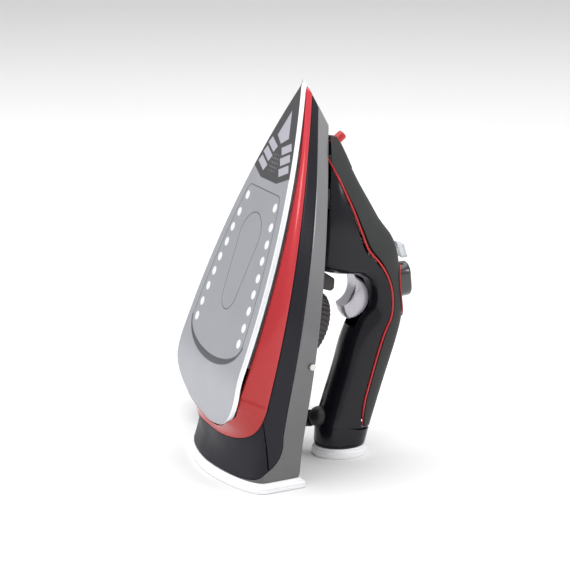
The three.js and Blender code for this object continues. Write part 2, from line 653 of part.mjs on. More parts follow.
// A point over the flap's opening: t from its front end to its rear, and a height out of the cover.
function onFlap(t, out) {
  const across = new THREE.Vector2(FLAP.rear[0] - FLAP.front[0], FLAP.rear[1] - FLAP.front[1]);
  const normal = new THREE.Vector2(-across.y, across.x).normalize();
  return [FLAP.front[0] + across.x * t + normal.x * out, FLAP.front[1] + across.y * t + normal.y * out];
}
function fillerHole() {
  return sidePrism([onFlap(0, -9), onFlap(0, 9), onFlap(1, 9), onFlap(1, -9)], -FLAP.half, FLAP.half);
}
function fillerFlap() {
  const half = FLAP.half - 0.6;
  const outline = [onFlap(0.07, -1), onFlap(0.07, 1.2), onFlap(0.5, 2.6), onFlap(0.98, 1.6), onFlap(0.98, -1)];
  return sidePrism(outline, -half, half);
}
function fillerFunnel() {
  const profile = [[5.6, 0], [7, 0], [7, 20], [5.6, 20], [5.6, 0]];
  return turned(profile, vec(0, 41, 211.5), vec(0, 0.96, 0.28), 18);
}
function flapPin() {
  const [v, h] = onFlap(0.03, -0.4);
  return rod(vec(0.4 - FLAP.half, v, h), vec(FLAP.half - 0.4, v, h), 0.9, 0.9, 10);
}

const NOZZLE = { from: vec(0, 35.9, 249.2), to: vec(0, 41.4, 258.6), radius: 3.4 };
const nozzleSocket = () => rod(vec(0, 30, 239.2), vec(0, 44, 263), NOZZLE.radius + 0.5, NOZZLE.radius + 0.5, 14);
function sprayNozzle() {
  const axis = NOZZLE.to.clone().sub(NOZZLE.from);
  const long = axis.length();
  const profile = [[0, 0], [NOZZLE.radius, 0], [NOZZLE.radius, long - 1], [2.6, long], [0.8, long], [0.8, long - 5], [0, long - 5]];
  return turned(profile, NOZZLE.from, axis, 14);
}

// A helical spring of round wire between two points.
function spring(from, to, radius, wire, turns) {
  const axis = to.clone().sub(from);
  const side = vec(1, 0, 0);
  const other = axis.clone().normalize().cross(side);
  const points = [];
  for (let i = 0; i <= turns * 8; i++) {
    const turn = (i / 8) * 2 * Math.PI;
    const p = from.clone().addScaledVector(axis, i / (turns * 8));
    p.addScaledVector(side, radius * Math.cos(turn)).addScaledVector(other, radius * Math.sin(turn));
    points.push(p);
  }
  return tube(points, wire, turns * 8, 5);
}

const PUMP = { along: -4, top: -10.5, bottom: -21.5, bore: 3.6, wall: 5 };
function pumpBody() {
  const deep = PUMP.top - PUMP.bottom;
  const profile = [[0, 0], [PUMP.wall, 0], [PUMP.wall, deep], [PUMP.bore, deep], [PUMP.bore, 1], [0, 1]];
  return turned(profile, onSlope(PUMP.along, PUMP.bottom), OUT, 16);
}
const pumpPiston = () => rod(onSlope(PUMP.along, -13), onSlope(PUMP.along, BUTTON.low - GAP), 3.2, 3.2, 14);
// Both springs have the length they are squeezed to when their button or trigger is fully home.
const pumpSpring = () => spring(onSlope(PUMP.along, -20), onSlope(PUMP.along, -17.5), 2.2, 0.35, 3);
const pumpHose = () =>
  tube([vec(7.2, 100, 173), vec(9.5, 88, 186), vec(10.5, 70, 203), vec(9, 53, 222), vec(5.5, 42, 235), vec(2, 36.5, 242)], 1.5, 16, 6);

const valveRod = () => rod(vec(0, 17, VALVE_ALONG), vec(0, 94, VALVE_ALONG), 1.5, 1.5, 10);
function valveSeat() {
  const profile = [[2.1, 0], [3, 0], [3, 8], [2.1, 8], [2.1, 0]];
  return turned(profile, vec(0, 27, VALVE_ALONG), vec(0, 1, 0), 14);
}

function temperatureDial() {
  const { radius, low, high } = DIAL;
  const profile = [[0, 63], [20.5, 63], [20.5, low], [radius, low], [radius, high - 4], [radius - 2.4, high - 0.8], [radius - 8, high], [0, high]];
  return turned(profile, vec(0, 0, DIAL.along), vec(0, 1, 0), 32);
}
// The raised block on the deck that the dial's marks are read against.
function dialPointer() {
  const outline = [[59, 153], [68, 153.5], [69.5, 156], [67.5, 162.5], [55, 165.5]];
  return cut(sidePrism(outline, -9, 9), underDeck(GAP));
}
const thermostatShaft = () => rod(vec(0, 23, DIAL.along), vec(0, 63 - GAP, DIAL.along), 3, 3, 12);
const thermostat = () => turned([[0, 0], [9, 0], [9, 5], [5, 6], [0, 6]], vec(0, 16.6, DIAL.along), vec(0, 1, 0), 20);
const thermalFuse = () => rod(vec(-9, 18, 103), vec(9, 18, 103), 2.4, 2.4, 10);
const indicatorLamp = () => turned([[0, 0], [2.2, 0], [2, 0.8], [0, 1.2]], vec(57.75, 49.5, 106), vec(1, 0.05, 0), 14);

// A closed hoop of round section that lies on the handle's top, round the thumb controls.
function controlTrim() {
  const [steps, sides, radius] = [30, 4, 0.6];
  const on = (i, lift) => {
    const turn = (2 * Math.PI * i) / steps;
    const k = 0.27 * Math.abs(Math.sin(turn)) ** 0.75;
    return handleSkin(0.514 + 0.09 * Math.cos(turn), roundDepth(k), Math.sign(Math.sin(turn)) || 1, -lift);
  };
  const loops = Array.from({ length: sides }, () => []);
  for (let i = 0; i < steps; i++) {
    const middle = on(i, radius + GAP);
    const out = on(i, radius + GAP + 1).sub(middle).normalize();
    const ahead = on(i + 1, radius + GAP).sub(on(i - 1, radius + GAP)).normalize();
    const across = ahead.cross(out).normalize();
    loops.forEach((loop, j) => {
      const turn = (2 * Math.PI * j) / sides;
      const p = middle.clone().addScaledVector(out, radius * Math.cos(turn));
      loop.push(p.addScaledVector(across, radius * Math.sin(turn)));
    });
  }
  return ringShell(loops);
}

function handleEndCap() {
  return capped([gripRing(-0.2, FOOT_HEIGHT + 0.4), gripRing(-0.2, FOOT_HEIGHT + 1.6)]);
}
function handleFoot() {
  return capped([gripRing(1.2, 0), gripRing(2.4, 1.6), gripRing(2, 4.4), gripRing(0.5, 5.6), gripRing(0, FOOT_HEIGHT)]);
}

// ---- cord ----
const BALL = standing(0, 112.4, 27.9);
const BALL_RADIUS = 7.5;
const RELIEF = { length: 35, start: 5.9, end: 4.3, ribs: 6 };
const RELIEF_AIM = standing(-0.853, -0.42, -0.31).normalize();
const ballSocket = () => new THREE.SphereGeometry(BALL_RADIUS + 0.7, 14, 8).translate(BALL.x, BALL.y, BALL.z);

// The slot the strain relief swings in, as a fan of rods from the ball.
const SWIVEL_AXIS = standing(-0.278, -0.137, 0.951);
function reliefSlot() {
  return [-20, -10, 0, 10, 20].map((swing) => {
    const aim = RELIEF_AIM.clone().applyAxisAngle(SWIVEL_AXIS, rad(swing));
    return rod(BALL.clone().addScaledVector(aim, 5), BALL.clone().addScaledVector(aim, 26), RELIEF.start + 0.9);
  });
}
const swivelBall = () => new THREE.SphereGeometry(BALL_RADIUS, 16, 9).translate(BALL.x, BALL.y, BALL.z);

// The ribbed sleeve, turned about its aim from the ball's skin; its end is rounded about the ball's centre.
function strainRelief() {
  const near = Math.sqrt(BALL_RADIUS ** 2 - RELIEF.start ** 2) + 2;
  const profile = [[0, BALL_RADIUS + GAP], [3, BALL_RADIUS + GAP], [RELIEF.start, near + 2]];
  const ribLength = (RELIEF.length - near - 4) / RELIEF.ribs;
  for (let i = 0; i < RELIEF.ribs; i++) {
    const r = lerp(RELIEF.start, RELIEF.end, i / (RELIEF.ribs - 1));
    const at = near + 2 + ribLength * i;
    profile.push([r, at + 0.6 * ribLength], [r - 1, at + 0.65 * ribLength], [r - 1, at + ribLength]);
  }
  profile.push([RELIEF.end, RELIEF.length - 1.6], [RELIEF.end, RELIEF.length - 0.3], [0, RELIEF.length]);
  return turned(profile, BALL, RELIEF_AIM, 12);
}

// The cord's route on the floor, in the standing frame, from the strain relief to the coil.
function cordTube() {
  const start = BALL.clone().addScaledVector(RELIEF_AIM, RELIEF.length + 0.4);
  const next = BALL.clone().addScaledVector(RELIEF_AIM, RELIEF.length + 7);
  const route = [
    [-47, 90.3, 9.6],
    [-56, 86, 4.9],
    [-64.5, 81.6, 3.2],
    [-74.3, 77.25, 3.05],
  ].map(([x, y, z]) => standing(x, y, z));
  return tube([start, next, ...route], CORD_RADIUS, 8, 10);
}

const upright = standing(0, 0, 1);
const coilPoint = (radius, degrees, z) =>
  standing(COIL.x + radius * Math.cos(rad(degrees)), COIL.y + radius * Math.sin(rad(degrees)), z);
function cordCoil() {
  const { inner, outer, height } = COIL;
  const [low, round] = [0.1, 2.5];
  const profile = [
    [inner, low + round], [inner + round, low], [outer - round, low], [outer, low + round],
    [outer, height - round], [outer - round, height], [inner + round, height], [inner, height - round],
    [inner, low + round],
  ];
  return turned(profile, standing(COIL.x, COIL.y, 0), upright, 30);
}

// The plug lies on the coil, pointing away from the iron, and the cord curves up into it.
const PLUG_AIM = standing(-0.929, 0.37, 0);
const PLUG_SIDE = standing(0.37, 0.929, 0);
const PLUG = { relief: 14, body: 34, pins: 18.5, spacing: 19, half: 13.6, halfHeight: 12.2 };
const TOP_LAYER = COIL.height + GAP + CORD_RADIUS; // the height of the cord's centre on top of the ring
const PLUG_REAR = standing(COIL.x - 3.5, COIL.y - 26.6, TOP_LAYER + CORD_RADIUS + GAP + PLUG.halfHeight);
const onPlug = (along, side = 0, up = 0) =>
  PLUG_REAR.clone().addScaledVector(PLUG_AIM, along).addScaledVector(PLUG_SIDE, side).addScaledVector(upright, up);
function plugRing(along, half, halfHeight) {
  return Array.from({ length: 16 }, (_, i) => {
    const turn = (2 * Math.PI * i) / 16;
    const c = Math.cos(turn);
    const s = Math.sin(turn);
    const power = 2 / 2.8;
    return onPlug(along, half * Math.sign(c) * Math.abs(c) ** power, halfHeight * Math.sign(s) * Math.abs(s) ** power);
  });
}
function plugBody() {
  const { relief, body, half, halfHeight } = PLUG;
  return capped([
    plugRing(0.4, 4.4, 4.4),
    plugRing(relief, 5.8, 5.8),
    plugRing(relief + 3, half * 0.72, halfHeight * 0.75),
    plugRing(relief + 10, half * 0.9, halfHeight * 0.93),
    plugRing(relief + body - 2, half, halfHeight),
    plugRing(relief + body, half - 1.5, halfHeight - 1.5),
  ]);
}
function plugPin(side) {
  const start = PLUG.relief + PLUG.body + GAP;
  const at = (along) => onPlug(along, (side * PLUG.spacing) / 2 * 0.9);
  const shank = rod(at(start), at(start + PLUG.pins - 2), 2.4, 2.4, 12);
  return join(shank, rod(at(start + PLUG.pins - 2.5), at(start + PLUG.pins), 2.4, 1.4, 12));
}
// The cord's last turn lies on the ring and winds inwards, then leaves it and rises into the plug.
const tailRadius = (degrees) => COIL.outer - CORD_RADIUS - (COIL.pitch * (COIL.entry - degrees)) / 360;
function cordTail() {
  const points = [];
  for (let degrees = COIL.entry - 30; degrees > -340; degrees -= 22) {
    points.push(coilPoint(tailRadius(degrees), degrees, TOP_LAYER));
  }
  points.push(coilPoint(31.2, -360, TOP_LAYER + 1), coilPoint(31.4, -381, TOP_LAYER + 4));
  for (const [degrees, rise] of [[-55, 9.6], [-85, 14]]) {
    const x = COIL.x + 6.14 + 26 * Math.cos(rad(degrees));
    const y = COIL.y - 2.44 + 26 * Math.sin(rad(degrees));
    points.push(standing(x, y, TOP_LAYER + rise));
  }
  points.push(onPlug(-4), onPlug(-0.4));
  return tube(points, CORD_RADIUS, 20, 8);
}

const terminalBlock = () => block(13, 11, 20, 0, 112, 92);
const cordClamp = () => block(14, 4, 8, 0, 108, 76);
const endScrew = () => turned([[0, 0], [1.5, 0], [1.5, 9], [0, 9]], standing(0, GRIP_END.y, FOOT_HEIGHT + 2.1), upright, 10);
const triggerSpring = () => spring(vec(0, 103.5, 160), vec(0, 110.5, 160), 2.4, 0.4, 3);

// ---- materials and the assembly ----
const finishes = {
  steel: { color: 0xa6a9b0, roughness: 0.28, metalness: 0.9 },
  casting: { color: 0x9b9da0, roughness: 0.6, metalness: 0.8 },
  red: { color: 0xc8282c, roughness: 0.25, metalness: 0.3 },
  dark: { color: 0x21222c, roughness: 0.3, metalness: 0 },
  tank: { color: 0x808284, roughness: 0.25, metalness: 0 },
  satin: { color: 0x46464c, roughness: 0.5, metalness: 0 },
  gloss: { color: 0x14121a, roughness: 0.15, metalness: 0 },
  grip: { color: 0x4b4c48, roughness: 0.65, metalness: 0 },
  silver: { color: 0xbeb9c3, roughness: 0.3, metalness: 0.6 },
  clear: { color: 0xe1e4eb, roughness: 0.2, metalness: 0 },
  rubber: { color: 0x26262a, roughness: 0.75, metalness: 0 },
  brass: { color: 0xb59a5a, roughness: 0.35, metalness: 0.9 },
};

const pieces = [
  ["soleplate", soleplate, "steel"],
  ["heater_casting", heaterCasting, "casting"],
  ["heating_element", heatingElement, "steel"],
  ["chamber_lid", chamberLid, "casting"],
  ["heat_shield", heatShield, "steel"],
  ["thermostat", thermostat, "casting"],
  ["thermostat_shaft", thermostatShaft, "casting"],
  ["thermal_fuse", thermalFuse, "clear"],
  ["skirt_ring", skirtRing, "red"],
  ["body_shell", bodyShell, "dark"],
  ["water_tank", waterTank, "tank"],
  ["deck_cover", deckCover, "gloss"],
  ["heel_cover", heelCover, "satin"],
  ["heel_foot", heelFoot, "clear"],
  ["handle_shell", handleShell, "gloss"],
  ["handle_cover", handleCover, "grip"],
  ["control_trim", controlTrim, "red"],
  ["handle_end_cap", handleEndCap, "gloss"],
  ["handle_foot", handleFoot, "clear"],
  ["end_screw", endScrew, "steel"],
  ["trigger", trigger, "silver"],
  ["trigger_spring", triggerSpring, "steel"],
  ["spray_button", sprayButton, "dark"],
  ["pump_piston", pumpPiston, "clear"],
  ["pump_body", pumpBody, "clear"],
  ["pump_spring", pumpSpring, "steel"],
  ["pump_hose", pumpHose, "clear"],
  ["steam_lever", steamLever, "clear"],
  ["valve_rod", valveRod, "steel"],
  ["valve_seat", valveSeat, "rubber"],
  ["filler_flap", fillerFlap, "grip"],
  ["flap_pin", flapPin, "steel"],
  ["filler_funnel", fillerFunnel, "clear"],
  ["spray_nozzle", sprayNozzle, "red"],
  ["temperature_dial", temperatureDial, "rubber"],
  ["dial_pointer", dialPointer, "satin"],
  ["indicator_lamp", indicatorLamp, "clear"],
  ["terminal_block", terminalBlock, "clear"],
  ["cord_clamp", cordClamp, "dark"],
  ["swivel_ball", swivelBall, "rubber"],
  ["strain_relief", strainRelief, "rubber"],
  ["cord_tube", cordTube, "rubber"],
  ["cord_coil", cordCoil, "rubber"],
  ["cord_tail", cordTail, "rubber"],
  ["plug_body", plugBody, "rubber"],
];
for (const [name, side] of [["left", -1], ["right", 1]]) {
  pieces.push([`piping_${name}`, () => piping(side), "red"]);
  pieces.push([`plug_pin_${name}`, () => plugPin(side), "brass"]);
}
for (const [name, place] of Object.entries(SCREW_PLACES)) {
  pieces.push([`casting_screw_${name}`, () => castingScrew(place), "steel"]);
}

const iron = new THREE.Group();
for (const [name, shape, finish] of pieces) {
  const mesh = new THREE.Mesh(shape(), new THREE.MeshStandardMaterial(finishes[finish]));
  mesh.name = name;
  iron.add(mesh);
}
iron.rotation.x = -LEAN;
iron.position.y = -CENTRE_Y;

const group = new THREE.Group();
group.add(iron);

export default group;
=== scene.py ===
"""The looks of an upright steam iron, built round its CAD frame.

Shapes are worked out in millimetres in the iron's own frame: x is sideways, v is the height above the
soleplate's face and h runs along the soleplate to its tip. `placed` turns such a point into the part's
frame, in metres, where +Z is up and the floor is z = 0.
"""

import json
import math

import bmesh
import bpy
from mathutils import Matrix, Vector


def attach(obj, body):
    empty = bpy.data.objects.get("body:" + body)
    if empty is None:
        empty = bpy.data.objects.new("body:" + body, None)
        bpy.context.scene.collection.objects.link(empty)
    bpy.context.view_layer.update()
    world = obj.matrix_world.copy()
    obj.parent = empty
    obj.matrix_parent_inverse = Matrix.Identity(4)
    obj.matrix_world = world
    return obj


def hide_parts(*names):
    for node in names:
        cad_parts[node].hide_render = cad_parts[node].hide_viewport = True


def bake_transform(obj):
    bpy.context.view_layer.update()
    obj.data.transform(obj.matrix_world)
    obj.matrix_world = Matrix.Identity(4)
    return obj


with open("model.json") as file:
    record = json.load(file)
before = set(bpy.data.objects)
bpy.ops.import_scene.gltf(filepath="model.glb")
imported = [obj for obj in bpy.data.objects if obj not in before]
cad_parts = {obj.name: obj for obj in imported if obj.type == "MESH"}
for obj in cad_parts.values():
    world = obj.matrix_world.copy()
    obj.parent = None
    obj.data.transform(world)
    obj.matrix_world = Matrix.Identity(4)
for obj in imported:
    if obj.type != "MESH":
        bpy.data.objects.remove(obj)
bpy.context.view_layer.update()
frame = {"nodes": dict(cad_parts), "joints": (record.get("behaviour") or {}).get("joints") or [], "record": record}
record = frame["record"]
sole_mount = next(m for m in record["mounts"] if m["name"] == "sole_face")
LEAN = math.atan2(sole_mount["axis"][2], -sole_mount["axis"][1])
COS, SIN = math.cos(LEAN), math.sin(LEAN)
CENTRE_Y = 1000 * (sole_mount["pos_m"][2] * math.tan(LEAN) - sole_mount["pos_m"][1])
MM = 0.001


# ---- small helpers ----
def lerp(a, b, t):
    return a + (b - a) * t


def clamp(value, low=0.0, high=1.0):
    return max(low, min(high, value))


def placed(p):
    """A point of the iron's own frame in the part's frame, in metres."""
    x, v, h = p
    return Vector((x, v * COS + h * SIN - CENTRE_Y, h * COS - v * SIN)) * MM


def standing(x, y, z):
    """From the standing frame, y back from the sole's line on the floor and z up, to the iron's own."""
    return Vector((x, y * COS - z * SIN, y * SIN + z * COS))


def smooth_between(values, place):
    """Catmull-Rom interpolation of a list of numbers, at a place from 0 to its last index."""
    last = len(values) - 1
    i = min(last - 1, max(0, int(place)))
    t = place - i
    a, b, c, d = (values[min(last, max(0, i + k))] for k in (-1, 0, 1, 2))
    return b + 0.5 * t * (c - a + t * (2 * a - 5 * b + 4 * c - d + t * (3 * (b - c) + d - a)))


def smooth_path(points, per_span):
    """Points along a smooth curve through the given points."""
    count = (len(points) - 1) * per_span
    return [
        Vector([smooth_between([p[axis] for p in points], i / per_span) for axis in range(3)])
        for i in range(count + 1)
    ]


# ---- the camera, first ----
def make_camera():
    data = bpy.data.cameras.new("camera")
    data.lens = 122.17
    data.sensor_width = 36
    camera = bpy.data.objects.new("camera", data)
    bpy.context.scene.collection.objects.link(camera)
    camera.location = (1.2, -0.391 - CENTRE_Y * MM, 0.4353)
    back = Vector((0.90346, -0.35953, 0.23345))
    camera.rotation_mode = "QUATERNION"
    camera.rotation_quaternion = (-back).to_track_quat("-Z", "Y")
    bpy.context.scene.camera = camera


make_camera()


# ---- meshes ----
def link_mesh(name, points, faces):
    """An object of these points, in metres, with its faces turned outwards."""
    mesh = bpy.data.meshes.new(name)
    mesh.from_pydata([tuple(p) for p in points], [], faces)
    made = bmesh.new()
    made.from_mesh(mesh)
    bmesh.ops.remove_doubles(made, verts=made.verts, dist=2e-6)
    bmesh.ops.dissolve_degenerate(made, edges=made.edges, dist=2e-6)
    bmesh.ops.recalc_face_normals(made, faces=made.faces)
    made.to_mesh(mesh)
    made.free()
    obj = bpy.data.objects.new(name, mesh)
    bpy.context.scene.collection.objects.link(obj)
    return obj


def from_iron(name, shape):
    """An object from (points, faces) whose points are in the iron's own frame."""
    points, faces = shape
    return link_mesh(name, [placed(p) for p in points], faces)


def bake(obj):
    """Turns an object's modifiers into its mesh."""
    graph = bpy.context.evaluated_depsgraph_get()
    mesh = bpy.data.meshes.new_from_object(obj.evaluated_get(graph))
    obj.modifiers.clear()
    obj.data = mesh


def cut(obj, *tools, solver="EXACT"):
    for tool in tools:
        modifier = obj.modifiers.new("cut", "BOOLEAN")
        modifier.operation = "DIFFERENCE"
        modifier.solver = solver
        modifier.object = tool
        bpy.context.view_layer.update()
        bake(obj)
        bpy.data.objects.remove(tool)
    return obj


def soften(obj, width, segments=2, angle=40):
    """Rounds an object's sharp edges by a width in millimetres."""
    modifier = obj.modifiers.new("round", "BEVEL")
    modifier.width = width * MM
    modifier.segments = segments
    modifier.limit_method = "ANGLE"
    modifier.angle_limit = math.radians(angle)
    modifier.use_clamp_overlap = True
    bpy.context.view_layer.update()
    bake(obj)
    return obj


def keep_largest(obj):
    """Drops every loose part but the one with the most vertices."""
    made = bmesh.new()
    made.from_mesh(obj.data)
    left, parts = set(made.verts), []
    while left:
        part, edge = set(), [left.pop()]
        while edge:
            vertex = edge.pop()
            part.add(vertex)
            for link in vertex.link_edges:
                other = link.other_vert(vertex)
                if other in left:
                    left.remove(other)
                    edge.append(other)
        parts.append(part)
    parts.sort(key=len)
    for part in parts[:-1]:
        bmesh.ops.delete(made, geom=list(part), context="VERTS")
    made.to_mesh(obj.data)
    made.free()
    return obj


def wrap(rings, caps=True, close=False):
    """Rings of equal length joined each to the next: capped at both ends, or closed into a hoop."""
    n = len(rings[0])
    points = [p for ring in rings for p in ring]
    faces = []
    for i in range(len(rings) if close else len(rings) - 1):
        k = (i + 1) % len(rings)
        for j in range(n):
            m = (j + 1) % n
            faces.append((i * n + j, i * n + m, k * n + m, k * n + j))
    if caps and not close:
        faces.append(tuple(range(n)))
        faces.append(tuple(range(len(points) - n, len(points))))
    return points, faces


def shell(surface, across, along, wall):
    """A thick sheet over the unit square, from surface(a, b, inset)."""
    rows = [i / across for i in range(across + 1)]
    columns = [i / along for i in range(along + 1)]
    points, index = [], {}

    def at(i, j, layer):
        key = (i, j, layer)
        if key not in index:
            index[key] = len(points)
            points.append(surface(rows[i], columns[j], 0 if layer == 0 else wall))
        return index[key]

    faces = []
    for i in range(across):
        for j in range(along):
            faces.append((at(i, j, 0), at(i + 1, j, 0), at(i + 1, j + 1, 0), at(i, j + 1, 0)))
            faces.append((at(i, j, 1), at(i, j + 1, 1), at(i + 1, j + 1, 1), at(i + 1, j, 1)))
    for i in range(across):
        for j in (0, along):
            faces.append((at(i, j, 0), at(i, j, 1), at(i + 1, j, 1), at(i + 1, j, 0)))
    for j in range(along):
        for i in (0, across):
            faces.append((at(i, j, 0), at(i, j + 1, 0), at(i, j + 1, 1), at(i, j, 1)))
    return points, faces


def tube(path, radius, sides=12, taper=None):
    """A round tube along points that are close together; taper(share) scales its radius."""
    rings = []
    normal = None
    for i, p in enumerate(path):
        ahead = (path[min(len(path) - 1, i + 1)] - path[max(0, i - 1)]).normalized()
        if normal is None:
            normal = ahead.orthogonal().normalized()
        normal = (normal - ahead * normal.dot(ahead)).normalized()
        other = ahead.cross(normal)
        size = radius * (taper(i / (len(path) - 1)) if taper else 1)
        turns = [2 * math.pi * k / sides for k in range(sides)]
        rings.append([p + normal * (size * math.cos(t)) + other * (size * math.sin(t)) for t in turns])
    return wrap(rings)


def turned(profile, base, direction, sides=40, ribs=0, rib_depth=0.0):
    """A turned piece: [radius, distance along the axis] from a base point, with optional ribs round it."""
    axis = direction.normalized()
    side = axis.orthogonal().normalized()
    other = axis.cross(side)
    rings = []
    for radius, along in profile:
        ring = []
        for k in range(sides):
            turn = 2 * math.pi * k / sides
            size = max(0.02, radius)
            if ribs and radius > rib_depth * 4:
                size -= rib_depth * (0.5 - 0.5 * math.cos(ribs * turn)) ** 2
            p = base + axis * along + side * (size * math.cos(turn))
            ring.append(p + other * (size * math.sin(turn)))
        rings.append(ring)
    return wrap(rings)


def side_prism(outline, x0, x1):
    """A side-view outline of (v, h) points, given thickness sideways from x0 to x1."""
    return wrap([[Vector((x, v, h)) for v, h in outline] for x in (x0, x1)])


# ---- the body's outer surface ----
SOLE_LENGTH = 284
HALF_WIDTH = 59.3
WIDEST = 79
PLATE = 3.4
HEEL_END = 43.5
HEEL_RISE = 16.4
CURL_START = 88
WALL = 2.5
SIDE_SHARE = 0.72
SKIRT_REAR = 71.5
SEAM = 0.014
FOOT = {"front": 27.3, "side": 46.9, "back": 74, "half": 63.2, "half_back": 59.5, "power": 1.74, "height": 7}
DECK_REAR = standing(FOOT["half_back"], FOOT["back"], FOOT["height"] + 0.5)
DIAL = {"along": 127, "radius": 23, "low": 55, "high": 70}


def nose_at(v):
    return SOLE_LENGTH - 2 - 2.1 * max(0, v - 7) ** 0.75


def half_width(v, h):
    t = clamp((nose_at(v) - h) / (nose_at(v) - WIDEST))
    return (HALF_WIDTH - 0.055 * max(0, v - 10)) * (1 - (1 - t) ** 2.15)


def skirt_top(h):
    return 9.8 + 17.7 * (clamp(280 - h, 0, 208.5) / 208.5) ** 1.3


def deck_edge(h):
    return 29 + 37 * (clamp(262 - h, 0, 229) / 229) ** 1.25


def skirt_line(u, inset):
    if u <= SIDE_SHARE:
        h = lerp(277.2 - 1.9 * inset, SKIRT_REAR, (u / SIDE_SHARE) ** 1.15)
        v = skirt_top(h)
        return Vector((max(0, half_width(v, h) - inset), v, h))
    s = math.sin((u - SIDE_SHARE) / (1 - SIDE_SHARE) * math.pi / 2)
    x = (HALF_WIDTH - 0.3 - inset) * max(0, 1 - s**3.1) ** (1 / 3.1)
    return Vector((x, 27.5 - 10.2 * s**4.5 + inset * s**4, lerp(SKIRT_REAR, 40.4 + inset * 0.8, s)))


def deck_line(u, inset):
    if u <= SIDE_SHARE:
        h = lerp(260.6 - 1.9 * inset, DECK_REAR.z, (u / SIDE_SHARE) ** 1.15)
        v = deck_edge(h)
        rear = FOOT["half_back"] - half_width(DECK_REAR.y, DECK_REAR.z)
        flare = rear * clamp(1 - (h - DECK_REAR.z) / 30) ** 2
        return Vector((max(0, half_width(v, h) + flare - inset), v, h))
    turn = (u - SIDE_SHARE) / (1 - SIDE_SHARE)
    straight = 0.22
    z = FOOT["height"] + 0.5
    if turn < straight:
        k = turn / straight
        x = lerp(FOOT["half_back"], FOOT["half"], k) - inset
        return standing(x, lerp(FOOT["back"], FOOT["side"], k), z)
    s = math.sin((turn - straight) / (1 - straight) * math.pi / 2)
    x = (FOOT["half"] - inset) * max(0, 1 - s ** FOOT["power"]) ** (1 / FOOT["power"])
    return standing(x, lerp(FOOT["side"], FOOT["front"] + inset, s), z)


def body_side(u, w, inset):
    """The body's side at u round it, from the nose, and w down it, from the skirt to the deck or foot."""
    side = -1 if u < 0 else 1
    p = skirt_line(abs(u), inset).lerp(deck_line(abs(u), inset), w)
    turn = max(0, (abs(u) - SIDE_SHARE) / (1 - SIDE_SHARE))
    waist = 2.8 * math.sin(math.pi * clamp(w)) * math.sin(turn * math.pi / 2)
    inward = standing(-0.3 * min(1, p.x / 20), 1, 0).normalized() * waist
    p = p + inward
    return Vector((side * max(0, p.x), p.y, p.z))


TANK_END = SIDE_SHARE + (1 - SIDE_SHARE) * 0.66
HEEL_COVER_FROM = SIDE_SHARE + (1 - SIDE_SHARE) * 0.19


def tank_line(u):
    if u <= SIDE_SHARE:
        return 0.375 + 0.105 * min(1, u / 0.2)
    return 1 - 0.52 * (1 - clamp((u - SIDE_SHARE) / (TANK_END - SIDE_SHARE))) ** 3.2


def deck_point(a, b, inset, drop):
    edge = deck_line(a * SIDE_SHARE, 0)
    x = max(0, edge.x - inset) * b
    rise = 8 * min(1, a / 0.3) * (1 - b * b) - drop
    return Vector((x, edge.y, edge.z)) + standing(0, rise, 0)


def under_deck(gap):
    rings = []
    for i in range(41):
        top = [deck_point(i / 40, j / 8, -6, -gap) for j in range(-8, 9)]
        last, first = top[-1], top[0]
        rings.append([*top, Vector((last.x, last.y - 60, last.z)), Vector((first.x, first.y - 60, first.z))])
    return from_iron("tool_deck", wrap(rings))


def curl(h):
    return HEEL_RISE * (max(0, CURL_START - h) / (CURL_START - HEEL_END)) ** 2


def sole_half(h):
    start = 75.3
    if h >= start:
        return half_width(0, h + 2 * max(0, (h - WIDEST) / (SOLE_LENGTH - WIDEST)) - 2)
    s = clamp((start - h) / (start - HEEL_END))
    return HALF_WIDTH * max(0, 1 - s**1.87) ** (1 / 1.87)


STEAM_PLACES = (
    (25.6, 197.5), (29.8, 184.5), (32.5, 173), (34, 161.8), (36.8, 150.2),
    (38.4, 139.3), (39.9, 128), (41.1, 116.3), (41.5, 105.4),
)


# ---- materials ----
class Field:
    """A number that a shader works out at each point, written as ordinary arithmetic."""

    def __init__(self, tree, socket):
        self.tree, self.socket = tree, socket

    def math(self, operation, *others, clamped=False, first=None):
        node = self.tree.nodes.new("ShaderNodeMath")
        node.operation = operation
        node.use_clamp = clamped
        values = (self, *others) if first is None else (first, self)
        for socket, value in zip(node.inputs, values):
            if isinstance(value, Field):
                self.tree.links.new(value.socket, socket)
            else:
                socket.default_value = value
        return Field(self.tree, node.outputs[0])

    def __add__(self, other):
        return self.math("ADD", other)

    def __sub__(self, other):
        return self.math("SUBTRACT", other)

    def __rsub__(self, other):
        return self.math("SUBTRACT", first=other)

    def __mul__(self, other):
        return self.math("MULTIPLY", other)

    def __truediv__(self, other):
        return self.math("DIVIDE", other)

    __radd__, __rmul__ = __add__, __mul__

    def size(self):
        return self.math("ABSOLUTE")

    def below(self, other):
        return self.math("MINIMUM", other)

    def above(self, other):
        return self.math("MAXIMUM", other)

    def root(self):
        return self.math("SQRT")

    def power(self, exponent):
        return self.math("POWER", exponent)

    def held(self):
        return self.math("ADD", 0.0, clamped=True)

    def inside(self, soft=0.15):
        """1 where this distance is below 0 and 0 outside, over a soft edge."""
        return (0.5 - self / (2 * soft)).held()


def length_of(a, b):
    return (a * a + b * b).root()


def shader(name):
    material = bpy.data.materials.new(name)
    material.use_nodes = True
    tree = material.node_tree
    return material, tree, tree.nodes["Principled BSDF"]


def object_point(tree):
    return tree.nodes.new("ShaderNodeTexCoord").outputs["Object"]


def noise(tree, scale, detail=3.0, stretch=(1, 1, 1)):
    mapping = tree.nodes.new("ShaderNodeMapping")
    mapping.inputs["Scale"].default_value = stretch
    tree.links.new(object_point(tree), mapping.inputs["Vector"])
    node = tree.nodes.new("ShaderNodeTexNoise")
    node.inputs["Scale"].default_value = scale
    node.inputs["Detail"].default_value = detail
    tree.links.new(mapping.outputs[0], node.inputs["Vector"])
    return Field(tree, node.outputs["Fac"])


